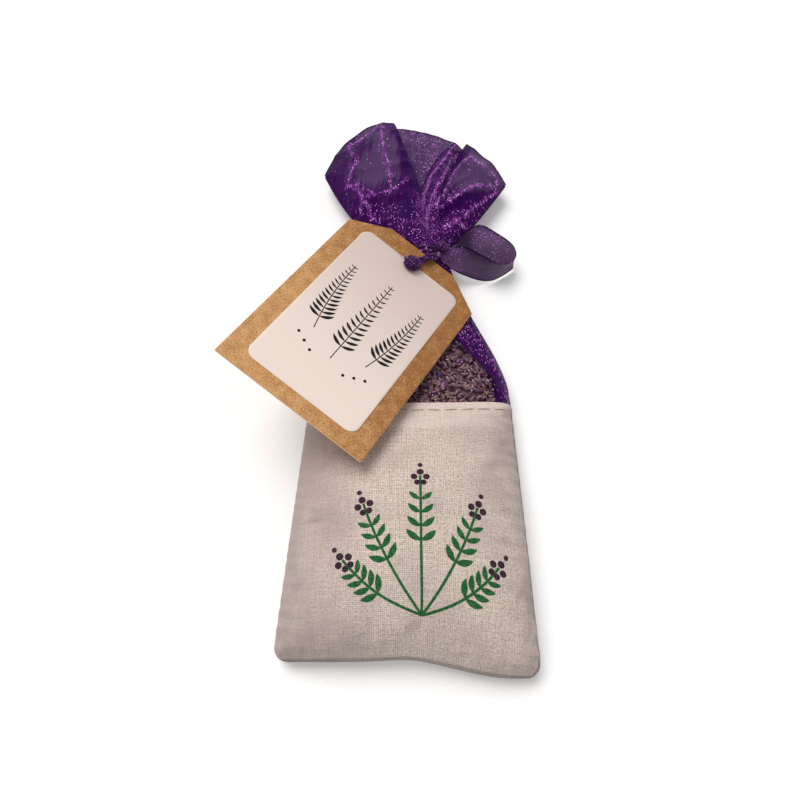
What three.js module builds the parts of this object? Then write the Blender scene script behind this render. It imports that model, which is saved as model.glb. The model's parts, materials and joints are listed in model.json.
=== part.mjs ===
// Lavender sachet: a stuffed cotton pocket with a gathered organza top, a ribbon tied round its neck
// and a card tag hung on the ribbon. Millimetres, +Z up. The sachet lies on its back with its length
// along +Y, and the origin is on the table under the middle of the pocket.
import * as THREE from "three";

const { lerp, clamp, smoothstep, degToRad } = THREE.MathUtils;

// Clearances
const CLOTH_GAP = 0.3; // between layers of cloth, and between cloth and what it holds
const GLUE_GAP = 0.05; // between the label and the card

// Cotton pocket
const POCKET_LENGTH = 75.5; // bottom edge to hem edge
const BOTTOM_WIDTH = 72.8;
const HEM_WIDTH = 63.8;
const BOTTOM_SHIFT = -0.85; // middles of the bottom edge and of the hem, to the right of the origin
const HEM_SHIFT = 0.5;
const CORNER_RADIUS = 4; // bottom corners, seen from above
const BOTTOM_LIFT = 0.7; // the left half of the bottom edge is drawn up by this
const BOTTOM_HANG = 4.2; // and its right end hangs lower than its left by this
const ARCH_IN = 0.5; // in its middle the edge is pushed in and up by these
const ARCH_UP = 0.8;
const ARCH_PLACE = -0.02; // as shares of the half width
const ARCH_REACH = 0.25;
const ARCH_FADE = 22; // length over which the arch fades into the pocket
const DENT_DEPTH = 1.1; // soft dents in the front of the stuffed pocket
const DENT_REACH = 9;
// Middle of each dent: [share of the half width, share of the pocket's length from its bottom edge]
const DENTS = [
  [0.62, 0.5],
  [-0.68, 0.42],
  [0.58, 0.8],
  [-0.3, 0.16],
  [0.38, 0.2],
];
const POCKET_CROWN = 22.5; // height of the stuffed pocket
const BOTTOM_ROUNDING = 26; // length over which the pocket swells from its bottom edge
const SEAM_HEIGHT = 4.5; // height of the side and bottom seams above the table
const COTTON_THICKNESS = 0.6;
const HEM_DEPTH = 8.4; // width of the folded hem
const HEM_CROWN = 16;
const HEM_DIP = 3; // the hem's middle is drawn back this far from its ends
const HEM_LIFT = 1.4; // the back of the hem stands this far off the table
const FLAT_MARGIN = 10; // the flat underside ends this far from the hem and from the bottom edge
const EDGE_LIFT = 0.5; // between its middle and its corners the underside's edges lift off the table by this
const MIDDLE_SHARE = 0.35; // share of the underside, across and along, that is its flat middle
const CORNER_SHARE = 0.79; // share of the half width at which its corners begin
const CORNER_UP = 15.5; // its upper corners begin this far from the hem edge
const CORNER_DOWN = 7.8; // and its lower corners this far from the bottom edge

// Organza top
const ORGANZA_THICKNESS = 0.35;
const ORGANZA_TUCK = 6; // depth of organza sewn inside the hem
const HEM_STEP_START = 0.5; // past the hem edge the organza rises to the bag's outer face between these
const HEM_STEP_END = 6;
const NECK_DISTANCE = 56; // hem edge to the middle of the tied neck
const NECK_SHIFT = 8; // the neck lies this far to the right of the pocket's middle
const NECK_HALF_WIDTH = 6;
const NECK_HALF_HEIGHT = 3.8;
const NECK_LIFT = 2; // the neck's underside above the table
const PLEATS = 7; // gathered pleats in each panel at the neck
const PLEAT_DEPTH = 0.08; // as a share of the neck's half width and half height
const PLEAT_RUN = 30; // length over which the pleats fade into the panel below the neck
const NECK_STRAIGHT = 0.1; // share of the ruffle's length that stays bunched before it fans out
const LEFT_BULGE = 0.45; // power of the way out: 1 gives the ruffle a straight side, less a bulging one
const RIGHT_BULGE = 0.85;
const FAN_START = 0.25; // shares of the way out between which the folds part
const FAN_FULL = 0.95;
const RIM_LEFT_CORNER = 52.8; // the front rim's distances from the neck, from left to right
const RIM_LEFT_EDGE = 56.7;
const RIM_PEAK = 61.6;
const RIM_FOLD = 58.4; // here the front turns down towards the foot of a notch
const RIM_FOLD_MIDDLE = 44.3;
const RIM_NOTCH = 27.3;
const RIM_NOTCH_RIGHT = 40.5;
const RIM_PLEAT = 49.8;
const RIM_PLEAT_GROOVE = 47.5;
const RIM_RIGHT_EDGE = 45.4;
const RIM_RIGHT_CORNER = 42.3;
const RIM_BACK_LEFT = 55.5; // and the back rim's, where they differ
const RIM_BACK_PEAK = 62.3;
const RIM_BACK_MIDDLE = 56.4;
const RIM_BACK_RIGHT = 52.5;
const RUFFLE_LEFT_HEIGHT = 6; // heights of the rims above the table
const RUFFLE_RIGHT_HEIGHT = 6.5;
const RUFFLE_FRONT_HEIGHT = 10;
const RUFFLE_FOLD_HEIGHT = 10.8;
const RUFFLE_NOTCH_HEIGHT = 7.5;
const RUFFLE_GROOVE_HEIGHT = 8.4;
const RUFFLE_BACK_HEIGHT = 3.2;
const RUFFLE_BACK_CREST = 5;
// The rims as fans about the neck, from left to right. Each row has its place along the rim, degrees to the
// right of +Y near the neck and at the rim, distance from the neck and height.
const RIM_PLACES = 28;
const FRONT_RIM = [
  [0, -46.5, -46.5, RIM_LEFT_CORNER, RUFFLE_LEFT_HEIGHT],
  [5, -31.5, -33.6, RIM_LEFT_EDGE, RUFFLE_FRONT_HEIGHT],
  [10, -16, -16, RIM_PEAK, RUFFLE_FRONT_HEIGHT],
  [11, -13, -12.5, RIM_FOLD, RUFFLE_FOLD_HEIGHT],
  [13, -10, -10.6, RIM_FOLD_MIDDLE, RUFFLE_FRONT_HEIGHT],
  [15, -6.8, -6.4, RIM_NOTCH, RUFFLE_NOTCH_HEIGHT],
  [17, -2.5, 2.5, RIM_NOTCH_RIGHT, RUFFLE_GROOVE_HEIGHT],
  [19, 2.5, 11.7, RIM_PLEAT, RUFFLE_FRONT_HEIGHT],
  [20, 5, 13.8, RIM_PLEAT_GROOVE, RUFFLE_GROOVE_HEIGHT],
  [21, 8, 16.2, RIM_PLEAT, RUFFLE_FRONT_HEIGHT],
  [25, 24, 29, RIM_RIGHT_EDGE, RUFFLE_FRONT_HEIGHT],
  [28, 41.5, 41.5, RIM_RIGHT_CORNER, RUFFLE_RIGHT_HEIGHT],
];
const BACK_RIM = [
  [0, -46.5, -46.5, RIM_LEFT_CORNER, RUFFLE_LEFT_HEIGHT],
  [4, -35, -36, RIM_BACK_LEFT, RUFFLE_BACK_HEIGHT],
  [10, -16.5, -16.5, RIM_PEAK, RUFFLE_BACK_HEIGHT],
  [12, -11, -11, RIM_BACK_PEAK, RUFFLE_BACK_CREST],
  [17, 4, 6.2, RIM_BACK_MIDDLE, RUFFLE_BACK_CREST],
  [21, 14, 16, RIM_BACK_RIGHT, RUFFLE_BACK_HEIGHT],
  [25, 27, 28.5, RIM_RIGHT_EDGE, RUFFLE_BACK_HEIGHT],
  [28, 41.5, 41.5, RIM_RIGHT_CORNER, RUFFLE_RIGHT_HEIGHT],
];

// Sewing thread
const THREAD_RADIUS = 0.25;
const STITCH_PITCH = 4.3;
const STITCH_RISE = 0.2; // each stitch arches this far off the cloth between its needle holes
const HEM_STITCH_INSET = 2; // stitch line below the hem edge
const SWERVE_BELOW_TUCK = 3; // the side seam thread is inside the tucked organza from here
const SWERVE_ABOVE_HEM = 4; // to here
const SWERVE_IN = 5; // and takes these lengths to swerve in and out again
const SWERVE_OUT = 8;
const BOTTOM_SEAM_MARGIN = 2; // the bottom seam thread stops this far from the round corners

// Lavender
const FILL_ABOVE_HEM = 28; // how far the flowers stand up into the organza
const FILL_ROUNDING = 12; // rounding of the heap's top end
const FIRST_BUDS = 5; // the first row of loose buds above the hem
const BUD_LENGTH = 4.6;
const BUD_RADIUS = 1.05;
const BUD_ROWS = 4;
const BUDS_IN_ROW = 5;
const BUD_SPREAD = 36; // degrees either side of the crest that the loose buds cover

// Ribbon
const RIBBON_WIDTH = 9;
const RIBBON_THICKNESS = 0.5;
const WRAP_WIDTH = 7; // the ribbon bunches to this width round the neck
const WRAP_THICKNESS = 0.9;
const KNOT_RADIUS = 2.6;
const LOOP_LENGTH = 21;
const LOOP_HALF_GAP = 4.6;
const LOOP_ROOT_HALF_GAP = 1.2; // between the loop's two strands where they leave the wrap
const LOOP_HEIGHT = 7.6; // middle of the loop above the table
const LOOP_LEAN = 20; // degrees that the loop's ribbon leans towards the ruffle
const LOOP_ROOT_WIDTH = 5; // the ribbon's width where it leaves the wrap

// Tag
const TAG_WIDTH = 50.3;
const TAG_LENGTH = 75.3;
const TAG_THICKNESS = 0.5;
const TAG_CHAMFER_ACROSS = 12.3; // cut off each top corner, measured along the top edge
const TAG_CHAMFER_DOWN = 8;
const LABEL_WIDTH = 38.1;
const LABEL_LENGTH = 63.5;
const LABEL_THICKNESS = 0.15;
const LABEL_RADIUS = 3.2;
const LABEL_BOTTOM_MARGIN = 5;
const HOLE_RADIUS = 2.5;
const HOLE_INSET = 6.9; // hole's centre below the tag's top edge
const TAG_HEADING = -31.3; // degrees: the tag's foot swings out to the left
const TAG_PITCH = -13.1; // its top end dips towards the neck
const TAG_ROLL = 15.5; // its left side stands up
const TAG_REST_GAP = 0.5; // least gap between the card and the cloth that it lies on
const HOLE_BEFORE_NECK = 10.3; // the hole's place, back from the neck and to its left
const HOLE_LEFT_OF_NECK = 6.6;
const TIE_RADIUS = 1.2; // the ribbon bunched into a cord through the hole
const TIE_HALF_GAP = 1.8; // from the card's middle to the middle of the strand on either side
const TIE_LEAN = 4; // its neck end lies this far to the right of the hole
const TIE_REACH = 7.9; // hole's centre to the hinge at the neck end of the tie

const yBottom = -POCKET_LENGTH / 2;
const yHem = POCKET_LENGTH / 2;
const yNeck = yHem + NECK_DISTANCE;
const neckZ = NECK_LIFT + NECK_HALF_HEIGHT;

const cotton = new THREE.MeshStandardMaterial({ color: 0xcdbfb6, roughness: 0.9, metalness: 0 });
const organza = new THREE.MeshStandardMaterial({ color: 0x4a1a78, roughness: 0.45, metalness: 0 });
const ribbon = new THREE.MeshStandardMaterial({ color: 0x3f1f5c, roughness: 0.5, metalness: 0 });
const thread = new THREE.MeshStandardMaterial({ color: 0xd8cdc0, roughness: 0.8, metalness: 0 });
const lavender = new THREE.MeshStandardMaterial({ color: 0x7a6672, roughness: 0.95, metalness: 0 });
const kraft = new THREE.MeshStandardMaterial({ color: 0xb07a3c, roughness: 0.85, metalness: 0 });
const paper = new THREE.MeshStandardMaterial({ color: 0xe6dad2, roughness: 0.7, metalness: 0 });

const sachet = new THREE.Group();

function addPiece(name, geometry, material, parent = sachet) {
  const mesh = new THREE.Mesh(geometry, material);
  mesh.name = name;
  parent.add(mesh);
  return mesh;
}

// A closed solid between two grids of points of the same size, with walls round their edges.
function solidBetween(outer, inner) {
  const rows = outer.length;
  const columns = outer[0].length;
  const positions = [...outer.flat(), ...inner.flat()].flatMap((p) => [p.x, p.y, p.z]);
  const at = (layer, row, column) => layer * rows * columns + row * columns + column;
  const faces = [];
  const quad = (a, b, c, d) => faces.push(a, b, c, a, c, d);
  for (let r = 0; r + 1 < rows; r++) {
    for (let c = 0; c + 1 < columns; c++) {
      quad(at(0, r, c), at(0, r, c + 1), at(0, r + 1, c + 1), at(0, r + 1, c));
      quad(at(1, r, c), at(1, r + 1, c), at(1, r + 1, c + 1), at(1, r, c + 1));
    }
  }
  for (let r = 0; r + 1 < rows; r++) {
    quad(at(0, r + 1, 0), at(1, r + 1, 0), at(1, r, 0), at(0, r, 0));
    quad(at(0, r, columns - 1), at(1, r, columns - 1), at(1, r + 1, columns - 1), at(0, r + 1, columns - 1));
  }
  for (let c = 0; c + 1 < columns; c++) {
    quad(at(0, 0, c), at(1, 0, c), at(1, 0, c + 1), at(0, 0, c + 1));
    quad(at(0, rows - 1, c + 1), at(1, rows - 1, c + 1), at(1, rows - 1, c), at(0, rows - 1, c));
  }
  const geometry = new THREE.BufferGeometry();
  geometry.setAttribute("position", new THREE.Float32BufferAttribute(positions, 3));
  geometry.setIndex(volumeOf(positions, faces) < 0 ? faces.reverse() : faces);
  return geometry;
}

// Signed volume of a triangle mesh: negative when its faces point inwards.
function volumeOf(positions, faces) {
  const corner = (i) => new THREE.Vector3().fromArray(positions, 3 * i);
  let sum = 0;
  for (let i = 0; i < faces.length; i += 3) {
    const [a, b, c] = [corner(faces[i]), corner(faces[i + 1]), corner(faces[i + 2])];
    sum += a.dot(b.cross(c)) / 6;
  }
  return sum;
}

// Unit normal of a surface(angle, along), taken towards the given side: +1 upwards, -1 downwards.
function normalOf(surface, angle, along, side) {
  const step = 0.01;
  const inside = clamp(angle, -Math.PI / 2 + step, Math.PI / 2 - step);
  const across = surface(inside + step, along).sub(surface(inside - step, along));
  const length = surface(inside, along + step).sub(surface(inside, along - step));
  return across.cross(length).multiplyScalar(side).normalize();
}

const spaced = (from, to, steps) => Array.from({ length: steps + 1 }, (_, i) => lerp(from, to, i / steps));
const halfTurn = (steps) => spaced(-Math.PI / 2, Math.PI / 2, steps);

// A sheet of cloth: its outer face is surface(angle, along), sunk by inset(along) along its normal.
// Neither face passes the level of the seams at the sheet's edges, raised by seamRise(angle, along).
function clothSheet(surface, side, angles, stations, thickness, inset, seamRise) {
  const layer = (depth) =>
    stations.map((along) => {
      const left = surface(-Math.PI / 2, along).z;
      const right = surface(Math.PI / 2, along).z;
      return angles.map((angle) => {
        const normal = normalOf(surface, angle, along, side);
        const point = surface(angle, along).addScaledVector(normal, -inset(along) - depth(along));
        const seam = lerp(left, right, angle / Math.PI + 0.5) + seamRise(angle, along);
        return point.setZ(side > 0 ? Math.max(point.z, seam) : Math.min(point.z, seam));
      });
    });
  return solidBetween(layer(() => 0), layer(thickness));
}

// A round cord of thread or ribbon through the points.
function cordThrough(points, radius, sides, steps) {
  const section = new THREE.Shape(
    Array.from({ length: sides }, (_, i) => {
      const turn = (2 * Math.PI * i) / sides;
      return new THREE.Vector2(radius * Math.cos(turn), radius * Math.sin(turn));
    }),
  );
  const extrudePath = new THREE.CatmullRomCurve3(points);
  return new THREE.ExtrudeGeometry(section, { steps, extrudePath });
}

// Body of the bag: widths and heights along Y, from the bottom edge to the neck

const towardsNeck = (y) => smoothstep(y, yHem, yNeck);

function swell(y, rounding = BOTTOM_ROUNDING) {
  const short = 1 - clamp((y - yBottom) / rounding, 0, 1);
  return Math.sqrt(1 - short * short);
}

function halfWidth(y) {
  if (y > yHem) return lerp(HEM_WIDTH / 2, NECK_HALF_WIDTH, towardsNeck(y));
  const straight = lerp(BOTTOM_WIDTH, HEM_WIDTH, (y - yBottom) / POCKET_LENGTH) / 2;
  return straight - CORNER_RADIUS * (1 - swell(y, CORNER_RADIUS));
}

function middleX(y) {
  if (y > yHem) return lerp(HEM_SHIFT, NECK_SHIFT, towardsNeck(y));
  return lerp(BOTTOM_SHIFT, HEM_SHIFT, (y - yBottom) / POCKET_LENGTH);
}

const seamZ = (y) => lerp(SEAM_HEIGHT, neckZ, towardsNeck(y));

function crownZ(y) {
  const pocket = lerp(POCKET_CROWN, HEM_CROWN, smoothstep(y, 0, yHem));
  const top = lerp(pocket, neckZ + NECK_HALF_HEIGHT, towardsNeck(y));
  return lerp(SEAM_HEIGHT, top, swell(y));
}

// The pocket stands on the middle and the four corners of its underside.
function edgeLift(across, y) {
  const top = yHem - CORNER_UP;
  const bottom = yBottom + CORNER_DOWN;
  const away = Math.abs(2 * y - top - bottom) / (top - bottom);
  const aside = smoothstep(Math.abs(across), MIDDLE_SHARE * CORNER_SHARE, CORNER_SHARE);
  const along = smoothstep(away, MIDDLE_SHARE, 1);
  return EDGE_LIFT * (aside + along - 2 * aside * along);
}

function undersideZ(across, y) {
  const flat = yHem - FLAT_MARGIN;
  const lifted = lerp(edgeLift(across, y), HEM_LIFT, smoothstep(y, flat, yHem - HEM_DEPTH / 2));
  return lerp(lifted, NECK_LIFT, towardsNeck(y));
}

function pleatAt(angle, y) {
  return 1 + PLEAT_DEPTH * smoothstep(y, yNeck - PLEAT_RUN, yNeck) * Math.cos(2 * PLEATS * angle);
}

// The bottom edge is pushed in and up at its middle: 1 there, fading along the edge and up the pocket.
function bottomArch(across, y) {
  const aside = (across - ARCH_PLACE) / ARCH_REACH;
  return Math.exp(-aside * aside) * (1 - smoothstep(y, yBottom, yBottom + ARCH_FADE));
}

// The bottom edge hangs lower at its right end, and the front's hem is drawn back where it crosses the crown.
function planY(y, across, side) {
  const fade = 1 - clamp((y - yBottom) / POCKET_LENGTH, 0, 1);
  const hang = BOTTOM_LIFT - BOTTOM_HANG * smoothstep(across, 0, 0.9);
  const nearHem = smoothstep(y, 0, yHem) * (1 - towardsNeck(y));
  const dip = side > 0 ? HEM_DIP * (1 - across * across) * nearHem : 0;
  return y + hang * fade * fade + ARCH_IN * bottomArch(across, y) - dip;
}

// Depth of the soft dents in the front of the pocket.
function dentAt(x, y) {
  const total = DENTS.reduce((sum, [aside, along]) => {
    const placeY = yBottom + along * POCKET_LENGTH;
    const placeX = middleX(placeY) + aside * halfWidth(placeY);
    const near = ((x - placeX) ** 2 + (y - placeY) ** 2) / DENT_REACH ** 2;
    return sum + Math.exp(-near);
  }, 0);
  return DENT_DEPTH * total * (1 - smoothstep(y, yHem - 2 * HEM_DEPTH, yHem - HEM_DEPTH));
}

const FULLNESS = 0.8; // under 1 the crown is squarer than an ellipse

function bagFront(angle, y) {
  const across = Math.sin(angle);
  const rise = Math.max(Math.cos(angle), 0) ** FULLNESS;
  const pleat = pleatAt(angle, y);
  const x = middleX(y) + halfWidth(y) * across * pleat;
  const edgeUp = ARCH_UP * bottomArch(across, y) * (1 - rise * swell(y));
  const top = (crownZ(y) - seamZ(y)) * rise * pleat - dentAt(x, y) * rise * swell(y);
  return new THREE.Vector3(x, planY(y, across, 1), seamZ(y) + CLOTH_GAP / 2 + top + edgeUp);
}

// The back lies flat on the table between its edges, and turns round at the neck.
const flatness = (y) => lerp(1.7, 1, towardsNeck(y));

function bagBack(angle, y) {
  const across = Math.sin(angle);
  const edge = Math.min(1, 1.5 * swell(y, FLAT_MARGIN * 1.6));
  const drop = Math.min(1, flatness(y) * Math.max(Math.cos(angle), 0) * edge);
  const pleat = lerp(1, pleatAt(angle, y), towardsNeck(y));
  const edgeUp = ARCH_UP * bottomArch(across, y) * (1 - drop);
  return new THREE.Vector3(
    middleX(y) + halfWidth(y) * across * pleatAt(angle, y),
    planY(y, across, -1),
    seamZ(y) - lerp(CLOTH_GAP / 2, seamZ(y) - undersideZ(across, y), drop) * pleat + edgeUp,
  );
}

// Ruffle: the same panels fanned out above the neck

// Degrees near the neck and at the rim, distance and height at a share of the rim's width.
function rimAt(rim, share) {
  const place = share * RIM_PLACES;
  const i = clamp(rim.findIndex(([at]) => at >= place), 1, rim.length - 1);
  const [from, ...start] = rim[i - 1];
  const [to, ...end] = rim[i];
  return start.map((value, column) => lerp(value, end[column], (place - from) / (to - from)));
}

function ruffle(rim, angle, along, side) {
  const share = angle / Math.PI + 0.5;
  const [inner, outer, reach, height] = rimAt(rim, share);
  const turn = degToRad(lerp(inner, outer, smoothstep(along, FAN_START, FAN_FULL)));
  const bulge = lerp(LEFT_BULGE, RIGHT_BULGE, smoothstep(share, 0, 0.6));
  const open = clamp((along - NECK_STRAIGHT) / (1 - NECK_STRAIGHT), 0, 1) ** bulge;
  const level = Math.max(Math.cos(angle), 0);
  const pleat = 1 + PLEAT_DEPTH * (1 - smoothstep(along, 0, 0.4)) * Math.cos(2 * PLEATS * angle);
  const neckSide = neckZ + side * (CLOTH_GAP / 2 + NECK_HALF_HEIGHT * level ** FULLNESS * pleat);
  const rimSide = height + side * (CLOTH_GAP / 2 + ORGANZA_THICKNESS);
  return new THREE.Vector3(
    NECK_SHIFT + lerp(NECK_HALF_WIDTH * Math.sin(angle) * pleat, reach * Math.sin(turn), open),
    yNeck + reach * Math.cos(turn) * along,
    lerp(neckSide, rimSide, smoothstep(along, 0, 0.7)),
  );
}

// One organza panel runs from inside the hem, through the neck, to the ruffle's rim.
// Along it, 0 is the hem edge, 1 the neck and 2 the rim.
const organzaFront = (angle, along) =>
  along < 1 ? bagFront(angle, lerp(yHem, yNeck, along)) : ruffle(FRONT_RIM, angle, along - 1, 1);
const organzaBack = (angle, along) =>
  along < 1 ? bagBack(angle, lerp(yHem, yNeck, along)) : ruffle(BACK_RIM, angle, along - 1, -1);

const hemThickness = 2 * COTTON_THICKNESS;
const underHem = hemThickness + 1.5 * CLOTH_GAP;
const organzaInset = (along) =>
  lerp(underHem, 0, smoothstep(along, HEM_STEP_START / NECK_DISTANCE, HEM_STEP_END / NECK_DISTANCE));

function makeCotton() {
  const swelling = spaced(0, Math.PI / 2, 6).map((turn) => yBottom + BOTTOM_ROUNDING * (1 - Math.cos(turn)));
  const hemFold = yHem - HEM_DEPTH;
  const middle = spaced(swelling.at(-1), hemFold, 6).slice(1);
  const stations = [...swelling, ...middle, hemFold + 0.4, yHem - HEM_DEPTH / 2, yHem];
  const thickness = (y) => (y > hemFold + 0.1 ? hemThickness : COTTON_THICKNESS);
  const inset = () => 0;
  const seamRise = (angle, y) => ARCH_UP * bottomArch(Math.sin(angle), y);
  const angles = halfTurn(24);
  const sheet = (surface, side) => clothSheet(surface, side, angles, stations, thickness, inset, seamRise);
  addPiece("cotton_front_panel", sheet(bagFront, 1), cotton);
  addPiece("cotton_back_panel", sheet(bagBack, -1), cotton);
}

function makeOrganza() {
  const stations = [...spaced(-ORGANZA_TUCK / NECK_DISTANCE, 1, 12).slice(0, -1), ...spaced(1, 2, 11)];
  const thickness = () => ORGANZA_THICKNESS;
  const angles = halfTurn(4 * PLEATS);
  const sheet = (surface, side) => {
    const seamRise = (angle, along) => -side * ORGANZA_THICKNESS * smoothstep(along, 1, 1.7);
    return clothSheet(surface, side, angles, stations, thickness, organzaInset, seamRise);
  };
  addPiece("organza_front_panel", sheet(organzaFront, 1), organza);
  addPiece("organza_back_panel", sheet(organzaBack, -1), organza);
}

// Sewing thread: hem stitches outside the cloth, seam stitches just inside the edges

function hemThread(surface, side) {
  const y = yHem - HEM_STITCH_INSET;
  const reach = Math.asin(0.9);
  const stitches = Math.round((2 * 0.9 * halfWidth(y)) / STITCH_PITCH);
  const points = spaced(-reach, reach, 4 * stitches).map((angle, i) => {
    const arch = STITCH_RISE * Math.abs(Math.sin((Math.PI * i) / 4));
    const lift = CLOTH_GAP + THREAD_RADIUS + arch;
    return surface(angle, y).addScaledVector(normalOf(surface, angle, y, side), lift);
  });
  return cordThrough(points, THREAD_RADIUS, 6, 4 * stitches);
}

// How far inside the bag's edge the seam thread runs: it passes inside the organza where that is tucked in.
const seamInset = COTTON_THICKNESS + CLOTH_GAP + THREAD_RADIUS;
const tuckedInset = underHem + ORGANZA_THICKNESS + 3 * CLOTH_GAP + THREAD_RADIUS;

function threadInset(y) {
  const tuck = yHem - ORGANZA_TUCK;
  const start = tuck - SWERVE_BELOW_TUCK;
  const end = yHem + SWERVE_ABOVE_HEM;
  const inside = smoothstep(y, start - SWERVE_IN, start) * (1 - smoothstep(y, end, end + SWERVE_OUT));
  return lerp(seamInset, tuckedInset, inside);
}

function makeThread() {
  addPiece("hem_thread_front", hemThread(bagFront, 1), thread);
  addPiece("hem_thread_back", hemThread(bagBack, -1), thread);
  for (const [name, side] of [["left", -1], ["right", 1]]) {
    const points = spaced(yBottom + CORNER_RADIUS, yNeck - PLEAT_RUN / 2, 32).map((y) => {
      const inside = halfWidth(y) - threadInset(y);
      return new THREE.Vector3(middleX(y) + side * inside, planY(y, side, 1), seamZ(y));
    });
    addPiece(`side_seam_thread_${name}`, cordThrough(points, THREAD_RADIUS, 6, 40), thread);
  }
  const half = BOTTOM_WIDTH / 2 - CORNER_RADIUS - BOTTOM_SEAM_MARGIN;
  const bottom = spaced(-half, half, 16).map((x) => {
    const across = (2 * x) / BOTTOM_WIDTH;
    const z = SEAM_HEIGHT + ARCH_UP * bottomArch(across, yBottom);
    return new THREE.Vector3(BOTTOM_SHIFT + x, planY(yBottom, across, 1) + seamInset, z);
  });
  addPiece("bottom_seam_thread", cordThrough(bottom, THREAD_RADIUS, 6, 32), thread);
}

// Dried lavender: one heap that fills the bag, with loose buds on it where the organza shows them

const heapEnd = yHem + FILL_ABOVE_HEM;
const insideThread = THREAD_RADIUS + 1.5 * CLOTH_GAP; // from the middle of the seam thread to the flowers
const heapStart = yBottom + seamInset + insideThread;
const underCotton = COTTON_THICKNESS + CLOTH_GAP;
const budRoom = 2 * BUD_RADIUS + 2 * CLOTH_GAP;
const intoWindow = (y) => smoothstep(y, yHem - 2 * HEM_DEPTH, yHem - HEM_DEPTH);

function heap(angle, y, side) {
  const across = Math.sin(angle);
  const end = clamp((y - heapEnd + FILL_ROUNDING) / FILL_ROUNDING, 0, 1);
  const close = Math.sqrt(Math.max(1 - end * end, 0));
  const start = swell(y - heapStart + yBottom, side > 0 ? BOTTOM_ROUNDING : FLAT_MARGIN);
  const window = intoWindow(y);
  const underBuds = underHem + budRoom - hemThickness + ORGANZA_THICKNESS;
  const overBack = underHem + ORGANZA_THICKNESS + 3 * CLOTH_GAP;
  const top = crownZ(y) - seamZ(y) - lerp(underCotton, underBuds, window);
  const bottom = seamZ(y) - undersideZ(across, y) - lerp(underCotton, overBack, window);
  const level = Math.max(Math.cos(angle), 0);
  const rise = (side > 0 ? level ** FULLNESS : Math.min(1, 0.85 * flatness(y) * level)) * close * start;
  const half = (halfWidth(y) - lerp(seamInset, tuckedInset, window) - insideThread) * lerp(1, close, 0.4);
  const x = middleX(y) + half * across;
  const dent = side > 0 ? dentAt(x, y) * rise : 0;
  const edgeUp = ARCH_UP * bottomArch(across, y) * (1 - rise);
  const height = side * (CLOTH_GAP / 2 + Math.max(side > 0 ? top : bottom, 0) * rise);
  return new THREE.Vector3(x, planY(y, across, side), seamZ(y) + height - dent + edgeUp);
}

const heapTop = (angle, y) => heap(angle, y, 1);

// A bud is a ribbed calyx that tapers to both ends.
function budGeometry() {
  const outline = [
    [0, -0.5],
    [0.55, -0.42],
    [1, -0.1],
    [0.85, 0.25],
    [0, 0.5],
  ];
  const profile = outline.map(([out, along]) => new THREE.Vector2(out * BUD_RADIUS, along * BUD_LENGTH));
  return new THREE.LatheGeometry(profile, 8);
}

function makeLavender() {
  const stations = [
    ...spaced(0, Math.PI / 2, 5).map((turn) => heapStart + BOTTOM_ROUNDING * (1 - Math.cos(turn))),
    ...spaced(heapStart + BOTTOM_ROUNDING, heapEnd - FILL_ROUNDING, 14).slice(1),
    ...spaced(0, Math.PI / 2, 4).map((turn) => heapEnd - FILL_ROUNDING * (1 - Math.sin(turn))).slice(1),
  ];
  const grid = (side) => stations.map((y) => halfTurn(16).map((angle) => heap(angle, y, side)));
  addPiece("lavender_heap", solidBetween(grid(1), grid(-1)), lavender);

  for (let row = 0; row < BUD_ROWS; row++) {
    for (let place = 0; place < BUDS_IN_ROW; place++) {
      const number = row * BUDS_IN_ROW + place + 1;
      const shift = row % 2 ? 0.5 : 0;
      const angle = degToRad(lerp(-BUD_SPREAD, BUD_SPREAD, (place + shift) / (BUDS_IN_ROW - 0.5)));
      const y = yHem + FIRST_BUDS + (row * (FILL_ABOVE_HEM - FILL_ROUNDING)) / (BUD_ROWS - 1);
      const normal = normalOf(heapTop, angle, y, 1);
      const bud = addPiece(`lavender_bud_${String(number).padStart(2, "0")}`, budGeometry(), lavender);
      const turn = 2.4 * number; // each bud lies another way
      const pointing = new THREE.Vector3(Math.cos(turn), Math.sin(turn), 0);
      pointing.addScaledVector(normal, -pointing.dot(normal)).normalize();
      bud.quaternion.setFromUnitVectors(new THREE.Vector3(0, 1, 0), pointing);
      bud.position.copy(heapTop(angle, y)).addScaledVector(normal, CLOTH_GAP + BUD_RADIUS);
    }
  }
}

// Ribbon round the neck, with its knot on top and its loop to the right

const wrapStart = yNeck - WRAP_WIDTH / 2;
const wrapHalfWidth = halfWidth(wrapStart) * (1 + PLEAT_DEPTH) + 1.5 * CLOTH_GAP;
const wrapHalfHeight = (crownZ(wrapStart) - seamZ(wrapStart)) * (1 + PLEAT_DEPTH) + 1.5 * CLOTH_GAP;

// Height of the wrap's outer face above the place x.
function wrapTopAt(x) {
  const aside = clamp((x - NECK_SHIFT) / (wrapHalfWidth + WRAP_THICKNESS), -1, 1);
  return neckZ + (wrapHalfHeight + WRAP_THICKNESS) * Math.sqrt(1 - aside * aside);
}

function makeWrap() {
  const edge = WRAP_WIDTH / 2;
  const profile = [
    [0, -edge],
    [WRAP_THICKNESS * 0.7, -edge],
    [WRAP_THICKNESS, -edge * 0.4],
    [WRAP_THICKNESS, edge * 0.4],
    [WRAP_THICKNESS * 0.7, edge],
    [0, edge],
    [0, -edge],
  ].map(([out, along]) => new THREE.Vector2(wrapHalfHeight + out, along));
  const geometry = new THREE.LatheGeometry(profile, 36);
  const widen = wrapHalfWidth - wrapHalfHeight;
  const position = geometry.getAttribute("position");
  for (let i = 0; i < position.count; i++) {
    const [x, z] = [position.getX(i), position.getZ(i)];
    position.setX(i, x + (widen * x) / Math.hypot(x, z));
  }
  addPiece("neck_ribbon", geometry, ribbon).position.set(NECK_SHIFT, yNeck, neckZ);
}

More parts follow.
